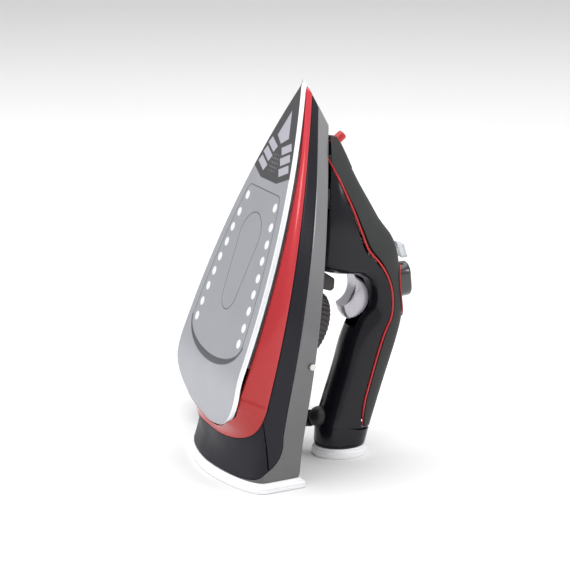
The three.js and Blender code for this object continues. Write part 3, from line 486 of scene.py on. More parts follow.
def mix(tree, share, first, second):
    """Colour between two colours, each an (r, g, b) or a socket."""
    node = tree.nodes.new("ShaderNodeMix")
    node.data_type = "RGBA"
    tree.links.new(share.socket, node.inputs[0])
    for socket, value in ((node.inputs[6], first), (node.inputs[7], second)):
        if isinstance(value, (tuple, list)):
            socket.default_value = (*value, 1)
        else:
            tree.links.new(value, socket)
    return node.outputs[2]


def add_bump(tree, base, height, distance, strength=1.0):
    node = tree.nodes.new("ShaderNodeBump")
    node.inputs["Distance"].default_value = distance
    node.inputs["Strength"].default_value = strength
    tree.links.new(height.socket, node.inputs["Height"])
    tree.links.new(node.outputs[0], base.inputs["Normal"])


def scaled(colour, factor):
    return tuple(min(1.0, c * factor) for c in colour)


def moulded(
    name, colour, roughness, coat=0.0, shine=0.5, grain=900, depth=0.00001, mottle=0.12, metallic=0.0,
    stretch=(1, 1, 1),
):
    """A finish with a fine grain, slightly uneven colour and a roughness that varies like handled plastic."""
    material, tree, base = shader(name)
    uneven = noise(tree, 28)
    tint = mix(tree, uneven, scaled(colour, 1 - mottle), scaled(colour, 1 + mottle))
    tree.links.new(tint, base.inputs["Base Color"])
    base.inputs["Metallic"].default_value = metallic
    base.inputs["Specular IOR Level"].default_value = shine
    base.inputs["Coat Weight"].default_value = coat
    base.inputs["Coat Roughness"].default_value = 0.06
    wear = noise(tree, 60, 4) * (roughness * 0.5) + roughness * 0.75
    tree.links.new(wear.socket, base.inputs["Roughness"])
    add_bump(tree, base, noise(tree, grain, 2, stretch), depth)
    return material


def clear_finish(name, colour, roughness, share):
    material = moulded(name, colour, roughness, coat=0.4, grain=500, depth=0.000006, mottle=0.04)
    base = material.node_tree.nodes["Principled BSDF"]
    base.inputs["Transmission Weight"].default_value = share
    base.inputs["IOR"].default_value = 1.46
    return material


def iron_fields(tree):
    """x, v and h of the point being shaded, in millimetres, in the iron's own frame."""
    split = tree.nodes.new("ShaderNodeSeparateXYZ")
    tree.links.new(object_point(tree), split.inputs[0])
    x, y, z = (Field(tree, split.outputs[i]) * 1000 for i in range(3))
    y = y + CENTRE_Y
    return x, y * COS - z * SIN, y * SIN + z * COS


def sole_finish():
    """Satin plate with a dark tip, printed pads, an engraved panel with painted shade in its grooves, painted
    highlight spots at the steam holes, a painted highlight along the plate's edge and a fine grain.
    """
    material, tree, base = shader("sole_finish")
    x, v, h = iron_fields(tree)
    side = x.size()
    toward_nose = ((SOLE_LENGTH - 2 - h) / (SOLE_LENGTH - 2 - WIDEST)).held()
    outline = (1 - (1 - toward_nose).power(2.15)) * HALF_WIDTH
    border = 212.5 + ((side - 14.5) / 17.1).held() * 6
    tip = (border - h).inside(0.25)
    above, under = (h - 243.5) / 18.5, (243.5 - h) / 5
    kite = ((side / 10 + above.above(under) - 1) * 5).inside()
    marks = kite
    for i in range(3):
        out, up = side - (12.3 + 3.35 * i), h - (236.4 - 7.1 * i)
        turn = math.radians(21)
        along = out * math.cos(turn) + up * math.sin(turn)
        across = up * math.cos(turn) - out * math.sin(turn)
        slanted = (along + across * 0.35).size() - 7.2
        marks = marks.above(slanted.above(across.size() - 2.9).inside())
    dot_x, dot_h = ((f / 1.5).math("PINGPONG", 1.0) * 1.5 for f in (x, h))
    in_grid = (side - 6).above((h - 225).size() - 6).inside()
    marks = marks.above((length_of(dot_x, dot_h) - 0.55).inside(0.2) * in_grid * 0.6)
    printed = marks * tip

    def panel_edge(rear_depth, half):
        low = (105 - h).above(0.0)
        rear = (length_of(side / half, low / rear_depth) - 1) * rear_depth
        sides = 9.5 - (outline - side)
        ahead = (h - 105).inside(0.4)
        top = h - 205.7
        corner = length_of((sides + 4).above(0.0), (top + 4).above(0.0)) - 4
        upper = corner + (sides.above(top) + 4).below(0.0)
        return upper * (1 - ahead) + rear * ahead

    inner, outer = panel_edge(17, 49.5), panel_edge(21.5, 49.7)
    crescent = (0 - inner).inside(0.2) * outer.inside(0.2) * (h - 120).inside()
    t = ((172 - h) / 39.5).held()
    oval = length_of(x, h - (172 - t * 39.5)) - (17.5 - t * 5.5)
    groove_with_painted_shade = (inner.size() - 0.45).inside().above((oval.size() - 0.42).inside())
    # Painted highlight: pale spots at the steam dimples stand in for the light on their countersinks.
    dimples = None
    for hole_x, hole_h in STEAM_PLACES:
        spot = length_of(side - hole_x, h - hole_h) - 3.1
        dimples = spot if dimples is None else dimples.below(spot)
    curled = ((CURL_START - h) / (CURL_START - HEEL_END)).above(0.0)
    # Painted highlight: a pale band along the plate's raised edge stands in for the light on it.
    painted_edge_highlight = (0.3 - (v - curled * curled * HEEL_RISE)).inside(0.15)
    painted_highlight = dimples.inside(0.3).above(painted_edge_highlight)
    mottled = noise(tree, 40, 4)
    plate = mix(tree, mottled, (0.33, 0.34, 0.375), (0.39, 0.40, 0.43))
    plate = mix(tree, inner.inside(0.3) * 0.18, plate, (0.26, 0.27, 0.30))
    plate = mix(tree, tip, plate, (0.062, 0.062, 0.066))
    plate = mix(tree, printed, plate, (0.46, 0.45, 0.51))
    plate = mix(tree, crescent, plate, (0.075, 0.078, 0.088))
    # Painted shade: the engraved grooves are darkened in colour for the shade that falls in them. Their depth
    # comes from the bump below.
    plate = mix(tree, groove_with_painted_shade * 0.8, plate, (0.07, 0.07, 0.08))
    # Painted highlight on the steam dimples and along the plate's edge.
    plate = mix(tree, painted_highlight, plate, (0.92, 0.93, 0.95))
    tree.links.new(plate, base.inputs["Base Color"])
    base.inputs["Metallic"].default_value = 0.45
    wear = noise(tree, 90, 4) * 0.1 + 0.32 + tip * 0.12
    tree.links.new(wear.socket, base.inputs["Roughness"])
    brushed = noise(tree, 260, 3, (1, 1, 0.06))
    add_bump(tree, base, brushed * 0.05 + groove_with_painted_shade * -1.0 + printed * 0.25, 0.0002)
    return material


def skirt_finish():
    """Glossy metallic red with fine flakes, and painted shade: darker towards the heel at the bottom and lighter
    towards the nose at the top.
    """
    material, tree, base = shader("skirt_finish")
    _, _, h = iron_fields(tree)
    flakes = noise(tree, 2600, 1)
    # Painted shade: the red darkens towards the heel, near the floor, and lightens towards the nose, as if light
    # falls from above.
    red = mix(tree, ((h - 60) / 210).held(), (0.40, 0.006, 0.006), (0.70, 0.025, 0.045))
    red = mix(tree, ((flakes - 0.56) * 6).held() * 0.15, red, (0.85, 0.14, 0.14))
    tree.links.new(red, base.inputs["Base Color"])
    base.inputs["Metallic"].default_value = 0.25
    base.inputs["Coat Weight"].default_value = 0.5
    base.inputs["Coat Roughness"].default_value = 0.08
    tree.links.new((noise(tree, 60) * 0.1 + 0.28).socket, base.inputs["Roughness"])
    add_bump(tree, base, noise(tree, 500, 2), 0.000008)
    return material


def tank_finish():
    """Smoky grey plastic, with painted shade: darker towards the heel at the bottom and lighter towards the nose
    at the top.
    """
    material, tree, base = shader("tank_finish")
    _, _, h = iron_fields(tree)
    # Painted shade: the grey darkens towards the heel, near the floor, and lightens towards the nose, as if light
    # falls from above.
    grey = mix(tree, ((h - 60) / 190).held(), (0.085, 0.085, 0.088), (0.23, 0.23, 0.24))
    grey = mix(tree, noise(tree, 30) * 0.2, grey, (0.14, 0.14, 0.15))
    tree.links.new(grey, base.inputs["Base Color"])
    base.inputs["Coat Weight"].default_value = 0.8
    base.inputs["Coat Roughness"].default_value = 0.07
    tree.links.new((noise(tree, 70) * 0.12 + 0.24).socket, base.inputs["Roughness"])
    add_bump(tree, base, noise(tree, 300, 2), 0.00001)
    return material


FINISHES = {
    "sole_metal": sole_finish(),
    "casting_metal": moulded(
        "casting_finish", (0.42, 0.42, 0.43), 0.6, grain=420, depth=0.00012, metallic=0.8,
    ),
    "steel": moulded("steel_finish", (0.55, 0.56, 0.58), 0.28, grain=700, metallic=1.0, stretch=(1, 1, 0.1)),
    "skirt_red": skirt_finish(),
    "body_dark": moulded("dark_finish", (0.009, 0.009, 0.015), 0.3, coat=0.05, shine=0.25),
    "tank_smoke": tank_finish(),
    "deck_gloss": moulded("deck_finish", (0.008, 0.007, 0.011), 0.18, coat=0.15, shine=0.25),
    "heel_satin": moulded("heel_finish", (0.014, 0.013, 0.019), 0.5, shine=0.2, grain=1500, depth=0.00003),
    "foot_clear": clear_finish("foot_finish", (0.93, 0.93, 0.95), 0.2, 0.0),
    "handle_gloss": moulded("handle_finish", (0.008, 0.007, 0.011), 0.22, coat=0.15, shine=0.25),
    "grip_soft": moulded("grip_finish", (0.034, 0.035, 0.035), 0.6, shine=0.3, grain=2200, depth=0.00005),
    "piping_red": moulded("piping_finish", (0.50, 0.008, 0.012), 0.32, coat=0.3),
    "trigger_silver": moulded("trigger_finish", (0.50, 0.48, 0.53), 0.3, coat=0.6, metallic=0.6),
    "button_black": moulded("button_finish", (0.020, 0.019, 0.023), 0.24, coat=0.8),
    "lever_clear": clear_finish("lever_finish", (0.80, 0.83, 0.88), 0.15, 0.6),
    "dial_dark": moulded("dial_finish", (0.028, 0.022, 0.021), 0.5, coat=0.2, grain=1400, depth=0.00003),
    "inner_plastic": moulded("inner_finish", (0.62, 0.60, 0.54), 0.5),
    "lamp": moulded("lamp_finish", (0.75, 0.72, 0.68), 0.15, coat=0.8),
    "rubber_black": moulded("rubber_finish", (0.018, 0.018, 0.021), 0.45, grain=1800, depth=0.00004),
    "plug_brass": moulded(
        "brass_finish", (0.62, 0.46, 0.20), 0.28, grain=600, metallic=1.0, stretch=(1, 1, 0.2),
    ),
}
SLOT_OF = {row["node"]: row["material_slot"] for row in record["subparts"]}


def finish_piece(obj, nodes, body="iron", slot=None, sharp=35):
    """Gives a piece its material, smooth shading and body, and hides the CAD nodes it stands for."""
    slot = slot or SLOT_OF[nodes[0]]
    obj.data.materials.clear()
    obj.data.materials.append(FINISHES[slot])
    obj.data.shade_smooth()
    obj.data.set_sharp_from_angle(angle=math.radians(sharp))
    if body:
        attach(obj, body)
    if nodes:
        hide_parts(*nodes)
    return obj


# ---- the cord, before everything else ----
BALL = Vector((0, 112.4, 27.9))
BALL_RADIUS = 7.5
RELIEF_AIM = Vector((-0.853, -0.42, -0.31)).normalized()
RELIEF = {"length": 35, "start": 5.9, "end": 4.3, "ribs": 6}
CORD_RADIUS = 3
COIL = {"x": -109.2, "y": 100.8, "inner": 23.8, "outer": 36.2, "pitch": 6.2, "entry": -66, "layers": 4}
LAYER_RISE = 6.1
FIRST_LAYER = 3.05
PLUG_AIM = Vector((-0.929, 0.37, 0)).normalized()
PLUG_SIDE = Vector((0.37, 0.929, 0)).normalized()
PLUG = {"relief": 14, "body": 34, "pins": 18.5, "spacing": 17.1, "half": 13.6, "height": 12.2}
TOP_LAYER = 27.75
PLUG_REAR = Vector((COIL["x"] - 3.5, COIL["y"] - 26.6, TOP_LAYER + CORD_RADIUS + 0.35 + PLUG["height"]))


def on_floor(p):
    """A point of the standing frame, in millimetres, as metres in the part's frame."""
    return Vector((p[0], p[1] - CENTRE_Y, p[2])) * MM


def coil_point(radius, degrees, z):
    turn = math.radians(degrees)
    return Vector((COIL["x"] + radius * math.cos(turn), COIL["y"] + radius * math.sin(turn), z))


def coil_turns():
    """The wound layers: two turns in, a quarter turn up, two turns out, a quarter turn up, and again."""
    step, points, degrees = 12, [], COIL["entry"]
    for layer in range(COIL["layers"]):
        low = FIRST_LAYER + LAYER_RISE * layer
        ends = (COIL["outer"], COIL["inner"]) if layer % 2 == 0 else (COIL["inner"], COIL["outer"])
        for i in range(720 // step):
            points.append(coil_point(lerp(*ends, i * step / 720), degrees, low))
            degrees -= step
        for i in range(90 // 10):
            share = i / 9
            rise = LAYER_RISE * share * share * (3 - 2 * share)
            points.append(coil_point(ends[1], degrees, low + rise))
            degrees -= 10
    return points


def cord_route():
    """The cord's whole centreline on the floor, from the strain relief to the plug."""
    out = [BALL + RELIEF_AIM * (RELIEF["length"] - 0.4), BALL + RELIEF_AIM * 42]
    out += [Vector(p) for p in ((-47, 90.3, 9.6), (-56, 86, 4.9), (-64.5, 81.6, 3.2), (-74.3, 77.25, 3.05))]
    out += [Vector((-84.5, 72.5, 3.05))]
    points = smooth_path([*out, coil_point(COIL["outer"], COIL["entry"], FIRST_LAYER)], 5)[:-1]
    points += coil_turns()
    tail = []
    degrees = COIL["entry"]
    while degrees > -340:
        radius = COIL["outer"] - COIL["pitch"] * (COIL["entry"] - degrees) / 360
        tail.append(coil_point(radius, degrees, TOP_LAYER))
        degrees -= 11
    tail += [coil_point(31.2, -360, TOP_LAYER + 1), coil_point(31.4, -381, TOP_LAYER + 4)]
    for degrees, rise in ((-55, 9.6), (-85, 14)):
        turn = math.radians(degrees)
        centre = Vector((COIL["x"] + 6.14, COIL["y"] - 2.44, 0))
        tail.append(centre + Vector((26 * math.cos(turn), 26 * math.sin(turn), TOP_LAYER + rise)))
    tail += [PLUG_REAR - PLUG_AIM * 4, PLUG_REAR + PLUG_AIM * 1]
    return [on_floor(p) for p in points + smooth_path(tail, 3)]


def plug_ring(along, half, height):
    ring = []
    for i in range(40):
        turn = 2 * math.pi * i / 40
        c, s = math.cos(turn), math.sin(turn)
        power = 2 / 2.8
        ring.append(on_floor(
            PLUG_REAR + PLUG_AIM * along + PLUG_SIDE * (half * math.copysign(abs(c) ** power, c))
            + Vector((0, 0, height * math.copysign(abs(s) ** power, s)))
        ))
    return ring


def make_plug():
    relief, body, half, height = PLUG["relief"], PLUG["body"], PLUG["half"], PLUG["height"]
    rings = [plug_ring(0.4, 4.0, 4.0)]
    for i in range(4):
        at = 1.2 + i * 3.1
        size = 4.4 + 0.35 * i
        rings += [plug_ring(at, size, size), plug_ring(at + 1.9, size, size)]
        rings += [plug_ring(at + 2.1, size - 0.8, size - 0.8), plug_ring(at + 2.9, size - 0.8, size - 0.8)]
    swelling = (
        (0, 0.43), (1, 0.6), (3, 0.74), (6, 0.84), (10, 0.92), (18, 0.9), (28, 0.97), (body - 2.4, 1.0),
    )
    for along, share in swelling:
        rings.append(plug_ring(relief + along, half * share, height * share))
    for along, inset in ((relief + body - 1, 0.4), (relief + body - 0.3, 1.0), (relief + body, 1.8)):
        rings.append(plug_ring(along, half - inset, height - inset))
    plug = link_mesh("plug_moulding", *wrap(rings))
    return finish_piece(plug, ["plug_body"], sharp=28)


def make_pin(name, side):
    face = PLUG["relief"] + PLUG["body"] - 0.5
    base = PLUG_REAR + PLUG_AIM * face + PLUG_SIDE * (side * PLUG["spacing"] / 2)
    profile = [(0, 0), (2.4, 0), (2.4, 9), (2.3, 9.3), (2.3, 9.7), (2.4, 10)]
    profile += [(2.4, 16.6), (2.0, 17.8), (1.2, 18.5), (0, 18.7)]
    points, faces = turned(profile, base, PLUG_AIM, 28)
    pin = link_mesh("plug_" + name, [on_floor(p) for p in points], faces)
    return finish_piece(pin, ["plug_pin_" + name], sharp=28)


def make_cord():
    path = cord_route()
    cable = link_mesh("cord_cable", *tube(path, CORD_RADIUS * MM, 14))
    finish_piece(cable, ["cord_tube", "cord_coil", "cord_tail"], body=None)
    start = Vector(path[0])
    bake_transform(cable)
    plug = make_plug()
    pins = [make_pin("left", -1), make_pin("right", 1)]
    length = sum((b - a).length for a, b in zip(path, path[1:]))
    tuple(path[0])
    [tuple(p) for p in path]
    print("cord length", round(length, 3))


make_cord()


def make_swivel():
    """The ball with its moulded flange, and the ribbed boot that swings with it."""
    profile = []
    for i in range(25):
        turn = math.pi * i / 24
        size = BALL_RADIUS * math.sin(turn)
        groove_with_painted_shade = 0.35 if 0.36 < i / 24 < 0.44 else 0
        profile.append((max(0, size - groove_with_painted_shade), BALL_RADIUS * (1 - math.cos(turn)) - BALL_RADIUS))
    aim = standing(*RELIEF_AIM)
    centre = standing(*BALL)
    ball = from_iron("swivel_joint", turned(profile, centre, aim, 36))
    finish_piece(ball, ["swivel_ball"], body="cord_swivel")
    near = math.sqrt(BALL_RADIUS**2 - RELIEF["start"] ** 2) + 2
    profile = [(0, BALL_RADIUS + 0.35), (3, BALL_RADIUS + 0.35)]
    profile += [(RELIEF["start"] - 0.3, near + 1.4), (RELIEF["start"], near + 2)]
    rib = (RELIEF["length"] - near - 4) / RELIEF["ribs"]
    for i in range(RELIEF["ribs"]):
        size = lerp(RELIEF["start"], RELIEF["end"], i / (RELIEF["ribs"] - 1))
        at = near + 2 + rib * i
        for shift, drop in ((0.08, 0.2), (0.16, 0), (0.5, 0), (0.58, 0.2), (0.64, 1), (0.96, 1)):
            profile.append((size - drop, at + shift * rib))
    end, length = RELIEF["end"], RELIEF["length"]
    profile += [(end, length - 1.7), (end, length - 0.7), (end - 0.5, length - 0.2), (0, length)]
    boot = from_iron("cord_boot", turned(profile, centre, aim, 36))
    finish_piece(boot, ["strain_relief"], body="cord_swivel", sharp=30)


make_swivel()


# ---- sole, skirt and bands ----
FROM_SOLE = Vector((0, 1, 0))


def make_sole():
    """The plate with its curled heel. Its steam holes are painted highlight spots of sole_finish, as the cut below
    is refused.
    """
    first, last = HEEL_END + 0.02, SOLE_LENGTH - 0.02
    even = [lerp(first, last, i / 110) for i in range(111)]
    stations = [first + 0.6 * i * i / 64 for i in range(8)] + [h for h in even if h > 44.5]
    edge = [(0.0, 1.5), (0.12, 0.95), (0.45, 0.42), (1.0, 0.1), (1.6, 0.0)]
    rings = []
    for h in stations:
        half, low = sole_half(h), curl(h)
        face = [(-max(0, half - i), low + r) for i, r in edge]
        flat = [(lerp(-1, 1, k / 24) * max(0, half - 2.0), low) for k in range(25)]
        front = face + flat + [(-x, v) for x, v in reversed(face)]
        back = [(lerp(1, -1, k / 24) * half, low + PLATE) for k in range(25)]
        rings.append([Vector((x, v, h)) for x, v in front + back])
    sole = from_iron("sole_plate", wrap(rings))
    tools = []
    for x, h in STEAM_PLACES:
        for side in (-1, 1):
            dimple = [(3.3, -0.3), (2.9, 0.0), (2.2, 0.55), (1.0, 0.95), (1.0, 6)]
            tools.append(turned(dimple, Vector((side * x, 0, h)), FROM_SOLE, 24))
            beside = Vector((side * (x - 4), 0, h + 3.6))
            tools.append(turned([(0.8, -1), (0.8, 6)], beside, FROM_SOLE, 14))
    for i in range(3):
        for side in (-1, 1):
            place = Vector((side * (9.8 + 3.35 * i), 0, 235.4 - 7.1 * i))
            tools.append(turned([(1.8, -0.6), (1.5, 0), (1.0, 0.8), (1.0, 6)], place, FROM_SOLE, 16))
    points, faces = [], []
    for some_points, some_faces in tools:
        start = len(points)
        points += some_points
        faces += [tuple(start + k for k in face) for face in some_faces]
    # This solver refuses the tools as non-manifold and leaves the plate whole. EXACT opens most of them.
    cut(sole, from_iron("tool_holes", (points, faces)), solver="MANIFOLD")
    finish_piece(sole, ["soleplate"], sharp=25)


make_sole()


def skirt_low(u, inset):
    if u <= SIDE_SHARE:
        t = (u / SIDE_SHARE) ** 1.15
        h = lerp(281 - 1.9 * inset, 74, t)
        return Vector((max(0, half_width(0, h) - 1.5 - inset), lerp(4.6, 7, min(1, t * 4)), h))
    s = math.sin((u - SIDE_SHARE) / (1 - SIDE_SHARE) * math.pi / 2)
    h = lerp(74, 42.9, s)
    beside = lerp(-1.5, 0.6, min(1, 5 * s)) * math.sqrt(max(0, 1 - s * s)) - inset * (1 - s**4)
    lift = 4.6 if inset > 0 else lerp(6.6, 0.4, clamp((s - 0.32) / 0.4))
    return Vector((max(0, sole_half(h + 0.6) + beside), curl(h) + lift, h))


def make_skirt():
    """The red ring round the sole, bulging a little between its two edges."""
    steps = 150

    def loop(point):
        near = [point(i / steps) for i in range(steps + 1)]
        return near + [Vector((-p.x, p.y, p.z)) for p in reversed(near[1:-1])]

    def between(share):
        def point(u):
            p = skirt_low(u, 0).lerp(skirt_line(u, 0), share)
            bulge = 0.7 * math.sin(math.pi * share)
            return p + Vector((bulge * min(1, p.x / 12), 0, 0))
        return point

    loops = [loop(between(k / 8)) for k in range(9)]
    loops += [loop(lambda u: skirt_line(u, WALL)), loop(lambda u: skirt_low(u, WALL))]
    skirt = from_iron("skirt_band", wrap(loops, close=True))
    soften(skirt, 0.5, 2, 50)
    finish_piece(skirt, ["skirt_ring"], sharp=50)


make_skirt()


def side_band(name, from_u, to_u, low, high, rows, nodes, steps=180):
    def surface(a, b, inset):
        u = lerp(from_u, to_u, a)
        folded = u if abs(u) <= 1 else math.copysign(2 - abs(u), -u)
        return body_side(folded, lerp(low(abs(folded)), high(abs(folded)), b), inset)

    band = from_iron(name, shell(surface, steps, rows, WALL))
    soften(band, 0.5, 2, 50)
    return finish_piece(band, nodes, sharp=40)


side_band(
    "dark_band", -HEEL_COVER_FROM, HEEL_COVER_FROM, lambda u: SEAM, lambda u: tank_line(u) - SEAM, 8,
    ["body_shell"],
)
side_band("tank_band", -TANK_END, TANK_END, tank_line, lambda u: 1.0, 10, ["water_tank"])
side_band(
    "heel_shell", HEEL_COVER_FROM + 0.003, 2 - HEEL_COVER_FROM - 0.003, lambda u: 1.6 * SEAM,
    lambda u: (tank_line(u) - SEAM) if u < TANK_END else 1.0, 20, ["heel_cover"], 120,
)


def make_deck():
    def surface(a, b, inset):
        return deck_point(lerp(0.07, 1, a), lerp(-1, 1, b), 3.2, inset)

    deck = from_iron("deck_shell", shell(surface, 90, 36, WALL))
    middle = Vector((0, 0, DIAL["along"]))
    well = from_iron("tool_well", turned([(24, 30), (24, 90)], middle, FROM_SOLE, 64))
    cut(deck, well)
    finish_piece(soften(deck, 0.5, 2, 50), ["deck_cover"], sharp=40)


make_deck()


def foot_loop(grow, z):
    near = []
    half, power = FOOT["half"], FOOT["power"]
    for i in range(13):
        k = i / 12
        near.append((lerp(0, FOOT["half_back"] + grow, k), FOOT["back"] + 5.5 * (1 - k * k) + grow))
    for i in range(49):
        s = math.sin(i / 48 * math.pi / 2)
        x = (half + grow) * max(0, 1 - s**power) ** (1 / power)
        near.append((x, lerp(FOOT["side"], FOOT["front"] - grow, s)))
    far = [(-x, y) for x, y in reversed(near[1:-1])]
    return [standing(x, y, z) for x, y in near + far]


def grip_loop(grow, z):
    ring = []
    for i in range(72):
        turn = 2 * math.pi * i / 72
        ring.append(standing((16.6 + grow) * math.cos(turn), 127.8 + (18.2 + grow) * math.sin(turn), z))
    return ring


FOOT_PROFILE = (
    (0.0, 0.0), (0.75, 0.25), (1.2, 0.9), (1.35, 1.8), (1.3, 2.6),
    (1.0, 2.8), (1.0, 3.2), (1.25, 3.4), (1.1, 4.3), (0.55, 5.0),
)
for name, loop, reach, node, neck in (
    ("heel_pad", foot_loop, 2.7, "heel_foot", 0.4), ("grip_pad", grip_loop, 1.5, "handle_foot", 0.1),
):
    rings = [loop(reach * (0.45 + 0.42 * share), z) for share, z in FOOT_PROFILE]
    rings += [loop(neck, 5.6), loop(neck - 0.2, FOOT["height"])]
    finish_piece(from_iron(name, wrap(rings)), [node], sharp=30)


# ---- the handle ----
HANDLE_TOP = (
    (36.5, 256.6), (45.5, 248.2), (61, 232.7), (75, 221), (88, 210.5), (99, 203.6),
    (106.5, 195.5), (113, 183.5), (119.5, 171), (124.6, 158.5), (127.4, 147.5), (129, 136.5),
    (129.8, 124), (130.4, 104), (131.2, 86), (132, 71), (133, 59.6),
)
HANDLE_UNDER = (
    (27, 254), (27, 242), (30, 224), (34, 205), (38, 186), (46, 167), (62, 165), (75, 168.5), (86, 168),
    (94, 161.5), (97.5, 151), (93, 138), (92, 123), (93.6, 103), (94.8, 80), (96, 62), (100, 47.3),
)
HANDLE_UPPER = (2.5, 7.5, 12.5, 15.5, 17.5, 18.5, 19, 19, 18.5, 18, 17.5, 17.2, 17, 17, 17, 17, 16.6)
HANDLE_LOWER = (5, 15, 24, 29, 30, 27, 23, 19.5, 17.5, 16.5, 16, 16, 16, 16, 16, 16.3, 16.6)
SEAM_DEPTH = (0.97, 0.9, 0.62, 0.48, 0.42, 0.4, 0.4, 0.4, 0.42, 0.44, 0.44, 0.43, 0.42, 0.41, 0.38, 0.26, 0.1)
COVER_END = 0.945
LAST_STATION = len(HANDLE_TOP) - 1


def station(values, a):
    return smooth_between(values, clamp(a) * LAST_STATION)


def handle_skin(a, depth, side, inset):
    """The handle's skin: a from 0 at the nozzle to 1 at the grip's end, depth from 0 on top to 1 below."""
    top = Vector([station([p[k] for p in HANDLE_TOP], a) for k in (0, 1)])
    under = Vector([station([p[k] for p in HANDLE_UNDER], a) for k in (0, 1)])
    down = under - top
    s = 1 - 2 * clamp(depth)
    shrink = max(0.1, 1 - 2 * inset / down.length)
    p = top.lerp(under, 0.5) + down * (-s * shrink / 2)
    half = max(0.6, lerp(station(HANDLE_UPPER, a), station(HANDLE_LOWER, a), clamp(depth)) - inset)
    x = side * half * max(0, 1 - abs(s) ** 2.5) ** (1 / 2.5)
    return Vector((x, p.x, p.y))


def seam_depth(a):
    return station(SEAM_DEPTH, a)


def round_depth(k):
    return 0.5 - 0.5 * math.cos(math.pi * k)


def round_share(depth):
    return math.acos(clamp(1 - 2 * depth, -1, 1)) / math.pi


SLOPE = Vector((18.1, -37.5)).normalized()
OUT = Vector((0, -SLOPE.y, SLOPE.x))
ALONG = Vector((0, SLOPE.x, SLOPE.y))
THUMB = Vector((0, 117.2, 175.4))


def on_slope(along, out, x=0):
    return THUMB + ALONG * along + OUT * out + Vector((x, 0, 0))


def slope_ring(width, length, along, out, grow=0.0, ends=16):
    """A round-ended outline on the thumb slope, at a height out of it."""
    r = width / 2 + grow
    straight = length / 2 - width / 2
    ring = []
    for centre, start in ((straight, 0), (-straight, math.pi)):
        for i in range(ends + 1):
            turn = start + math.pi * i / ends
            ring.append(on_slope(along + centre + r * math.sin(turn), out, r * math.cos(turn)))
    return ring


def slope_box(width, length, height, along, out):
    corners = ((-1, -1), (1, -1), (1, 1), (-1, 1))
    rings = [
        [on_slope(along + y * length / 2, out + z * height / 2, x * width / 2) for x, y in corners]
        for z in (-1, 1)
    ]
    return wrap(rings)


def on_flap(t, out):
    front, rear = Vector((50.5, 236)), Vector((83, 206.4))
    across = rear - front
    normal = Vector((-across.y, across.x)).normalized()
    return front + across * t + normal * out


TRIGGER_HALF = 7.5
BUTTON = {"width": 16, "length": 25, "along": 1.5}
POCKET = ((79, 170.5), (92, 171), (100, 166.5), (108, 157), (108, 143), (101, 133.5), (88, 133.5), (77, 143))


def flap_hole():
    outline = [on_flap(t, out) for t, out in ((0, -9), (0, 9), (1, 9), (1, -9))]
    return from_iron("tool_flap", side_prism(outline, -8, 8))


def make_handle():
    def cover_surface(a, b, inset):
        along = lerp(0.012, COVER_END - 0.01, a)
        reach = round_share(seam_depth(along)) - 0.035
        k = lerp(-reach, reach, b)
        return handle_skin(along, round_depth(abs(k)), -1 if k < 0 else 1, inset)

    cover = from_iron("handle_top", shell(cover_surface, 150, 26, 2.2))
    button_rings = [slope_ring(17.2, 26.2, BUTTON["along"], out) for out in (-16, 16)]
    button_hole = from_iron("tool_button", wrap(button_rings))
    socket_shape = turned([(3.9, 0), (3.9, 28)], Vector((0, 30, 239.2)), Vector((0, 14, 23.8)), 32)
    socket = from_iron("tool_nozzle", socket_shape)
    hole = flap_hole()
    lever_slot = from_iron("tool_lever", slope_box(17, 7, 30, -19.5, 0))
    cut(cover, hole, lever_slot, button_hole, under_deck(0.35), socket)
    keep_largest(cover)
    finish_piece(cover, ["handle_cover"], sharp=40)

    def shell_surface(a, b, inset):
        along = lerp(0.02, 1, a)
        reach = round_share(seam_depth(along) if along < COVER_END else 0.002) + 0.02
        k = lerp(reach, 2 - reach, b)
        return handle_skin(along, round_depth(k if k <= 1 else 2 - k), 1 if k <= 1 else -1, inset)

    body = from_iron("handle_body", shell(shell_surface, 180, 40, WALL))
    pocket = from_iron("tool_pocket", side_prism(POCKET, -TRIGGER_HALF - 0.8, TRIGGER_HALF + 0.8))
    centre, aim = standing(*BALL), standing(*RELIEF_AIM)
    swing_axis = Vector(next(j for j in frame["joints"] if j["name"] == "cord_swing")["axis"])
    socket_radius = 8.2
    turns = [math.pi * i / 16 for i in range(17)]
    sphere = [(socket_radius * math.sin(t), -socket_radius * math.cos(t)) for t in turns]
    tools = [pocket, under_deck(0.35), from_iron("tool_ball", turned(sphere, centre, aim, 32))]
    for swing in (-20, -10, 0, 10, 20):
        swung = standing(*(Matrix.Rotation(math.radians(swing), 3, swing_axis) @ RELIEF_AIM))
        tools.append(from_iron("tool_slot", turned([(6.8, 5), (6.8, 26)], centre, swung, 28)))
    cut(body, *tools)
    keep_largest(body)
    finish_piece(body, ["handle_shell"], sharp=40)


make_handle()


def make_piping(name, side):
    line = []
    for i in range(121):
        a = lerp(0.055, COVER_END - 0.01, i / 120)
        line.append(handle_skin(a, round_depth(round_share(seam_depth(a)) - 0.0075), side, 0.35))

    def taper(t):
        return min(1, 12 * t + 0.15, 12 * (1 - t) + 0.15)

    strip = from_iron(name + "_strip", tube(line, 0.8, 10, taper))
    finish_piece(strip, [name], sharp=60)


make_piping("piping_left", -1)
make_piping("piping_right", 1)


def make_trim():
    """The thin red hoop round the thumb controls."""
    line = []
    for i in range(120):
        turn = 2 * math.pi * i / 120
        k = 0.27 * abs(math.sin(turn)) ** 0.75
        side = -1 if math.sin(turn) < 0 else 1
        line.append(handle_skin(0.514 + 0.09 * math.cos(turn), round_depth(k), side, -0.55))
    rings = []
    for i, p in enumerate(line):
        ahead = (line[(i + 1) % 120] - line[i - 1]).normalized()
        across = ahead.cross(OUT).normalized()
        up = across.cross(ahead)
        turns = [math.pi * k / 4 for k in range(8)]
        rings.append([p + across * (0.55 * math.cos(t)) + up * (0.45 * math.sin(t)) for t in turns])
    finish_piece(from_iron("control_hoop", wrap(rings, close=True)), ["control_trim"], sharp=60)


make_trim()


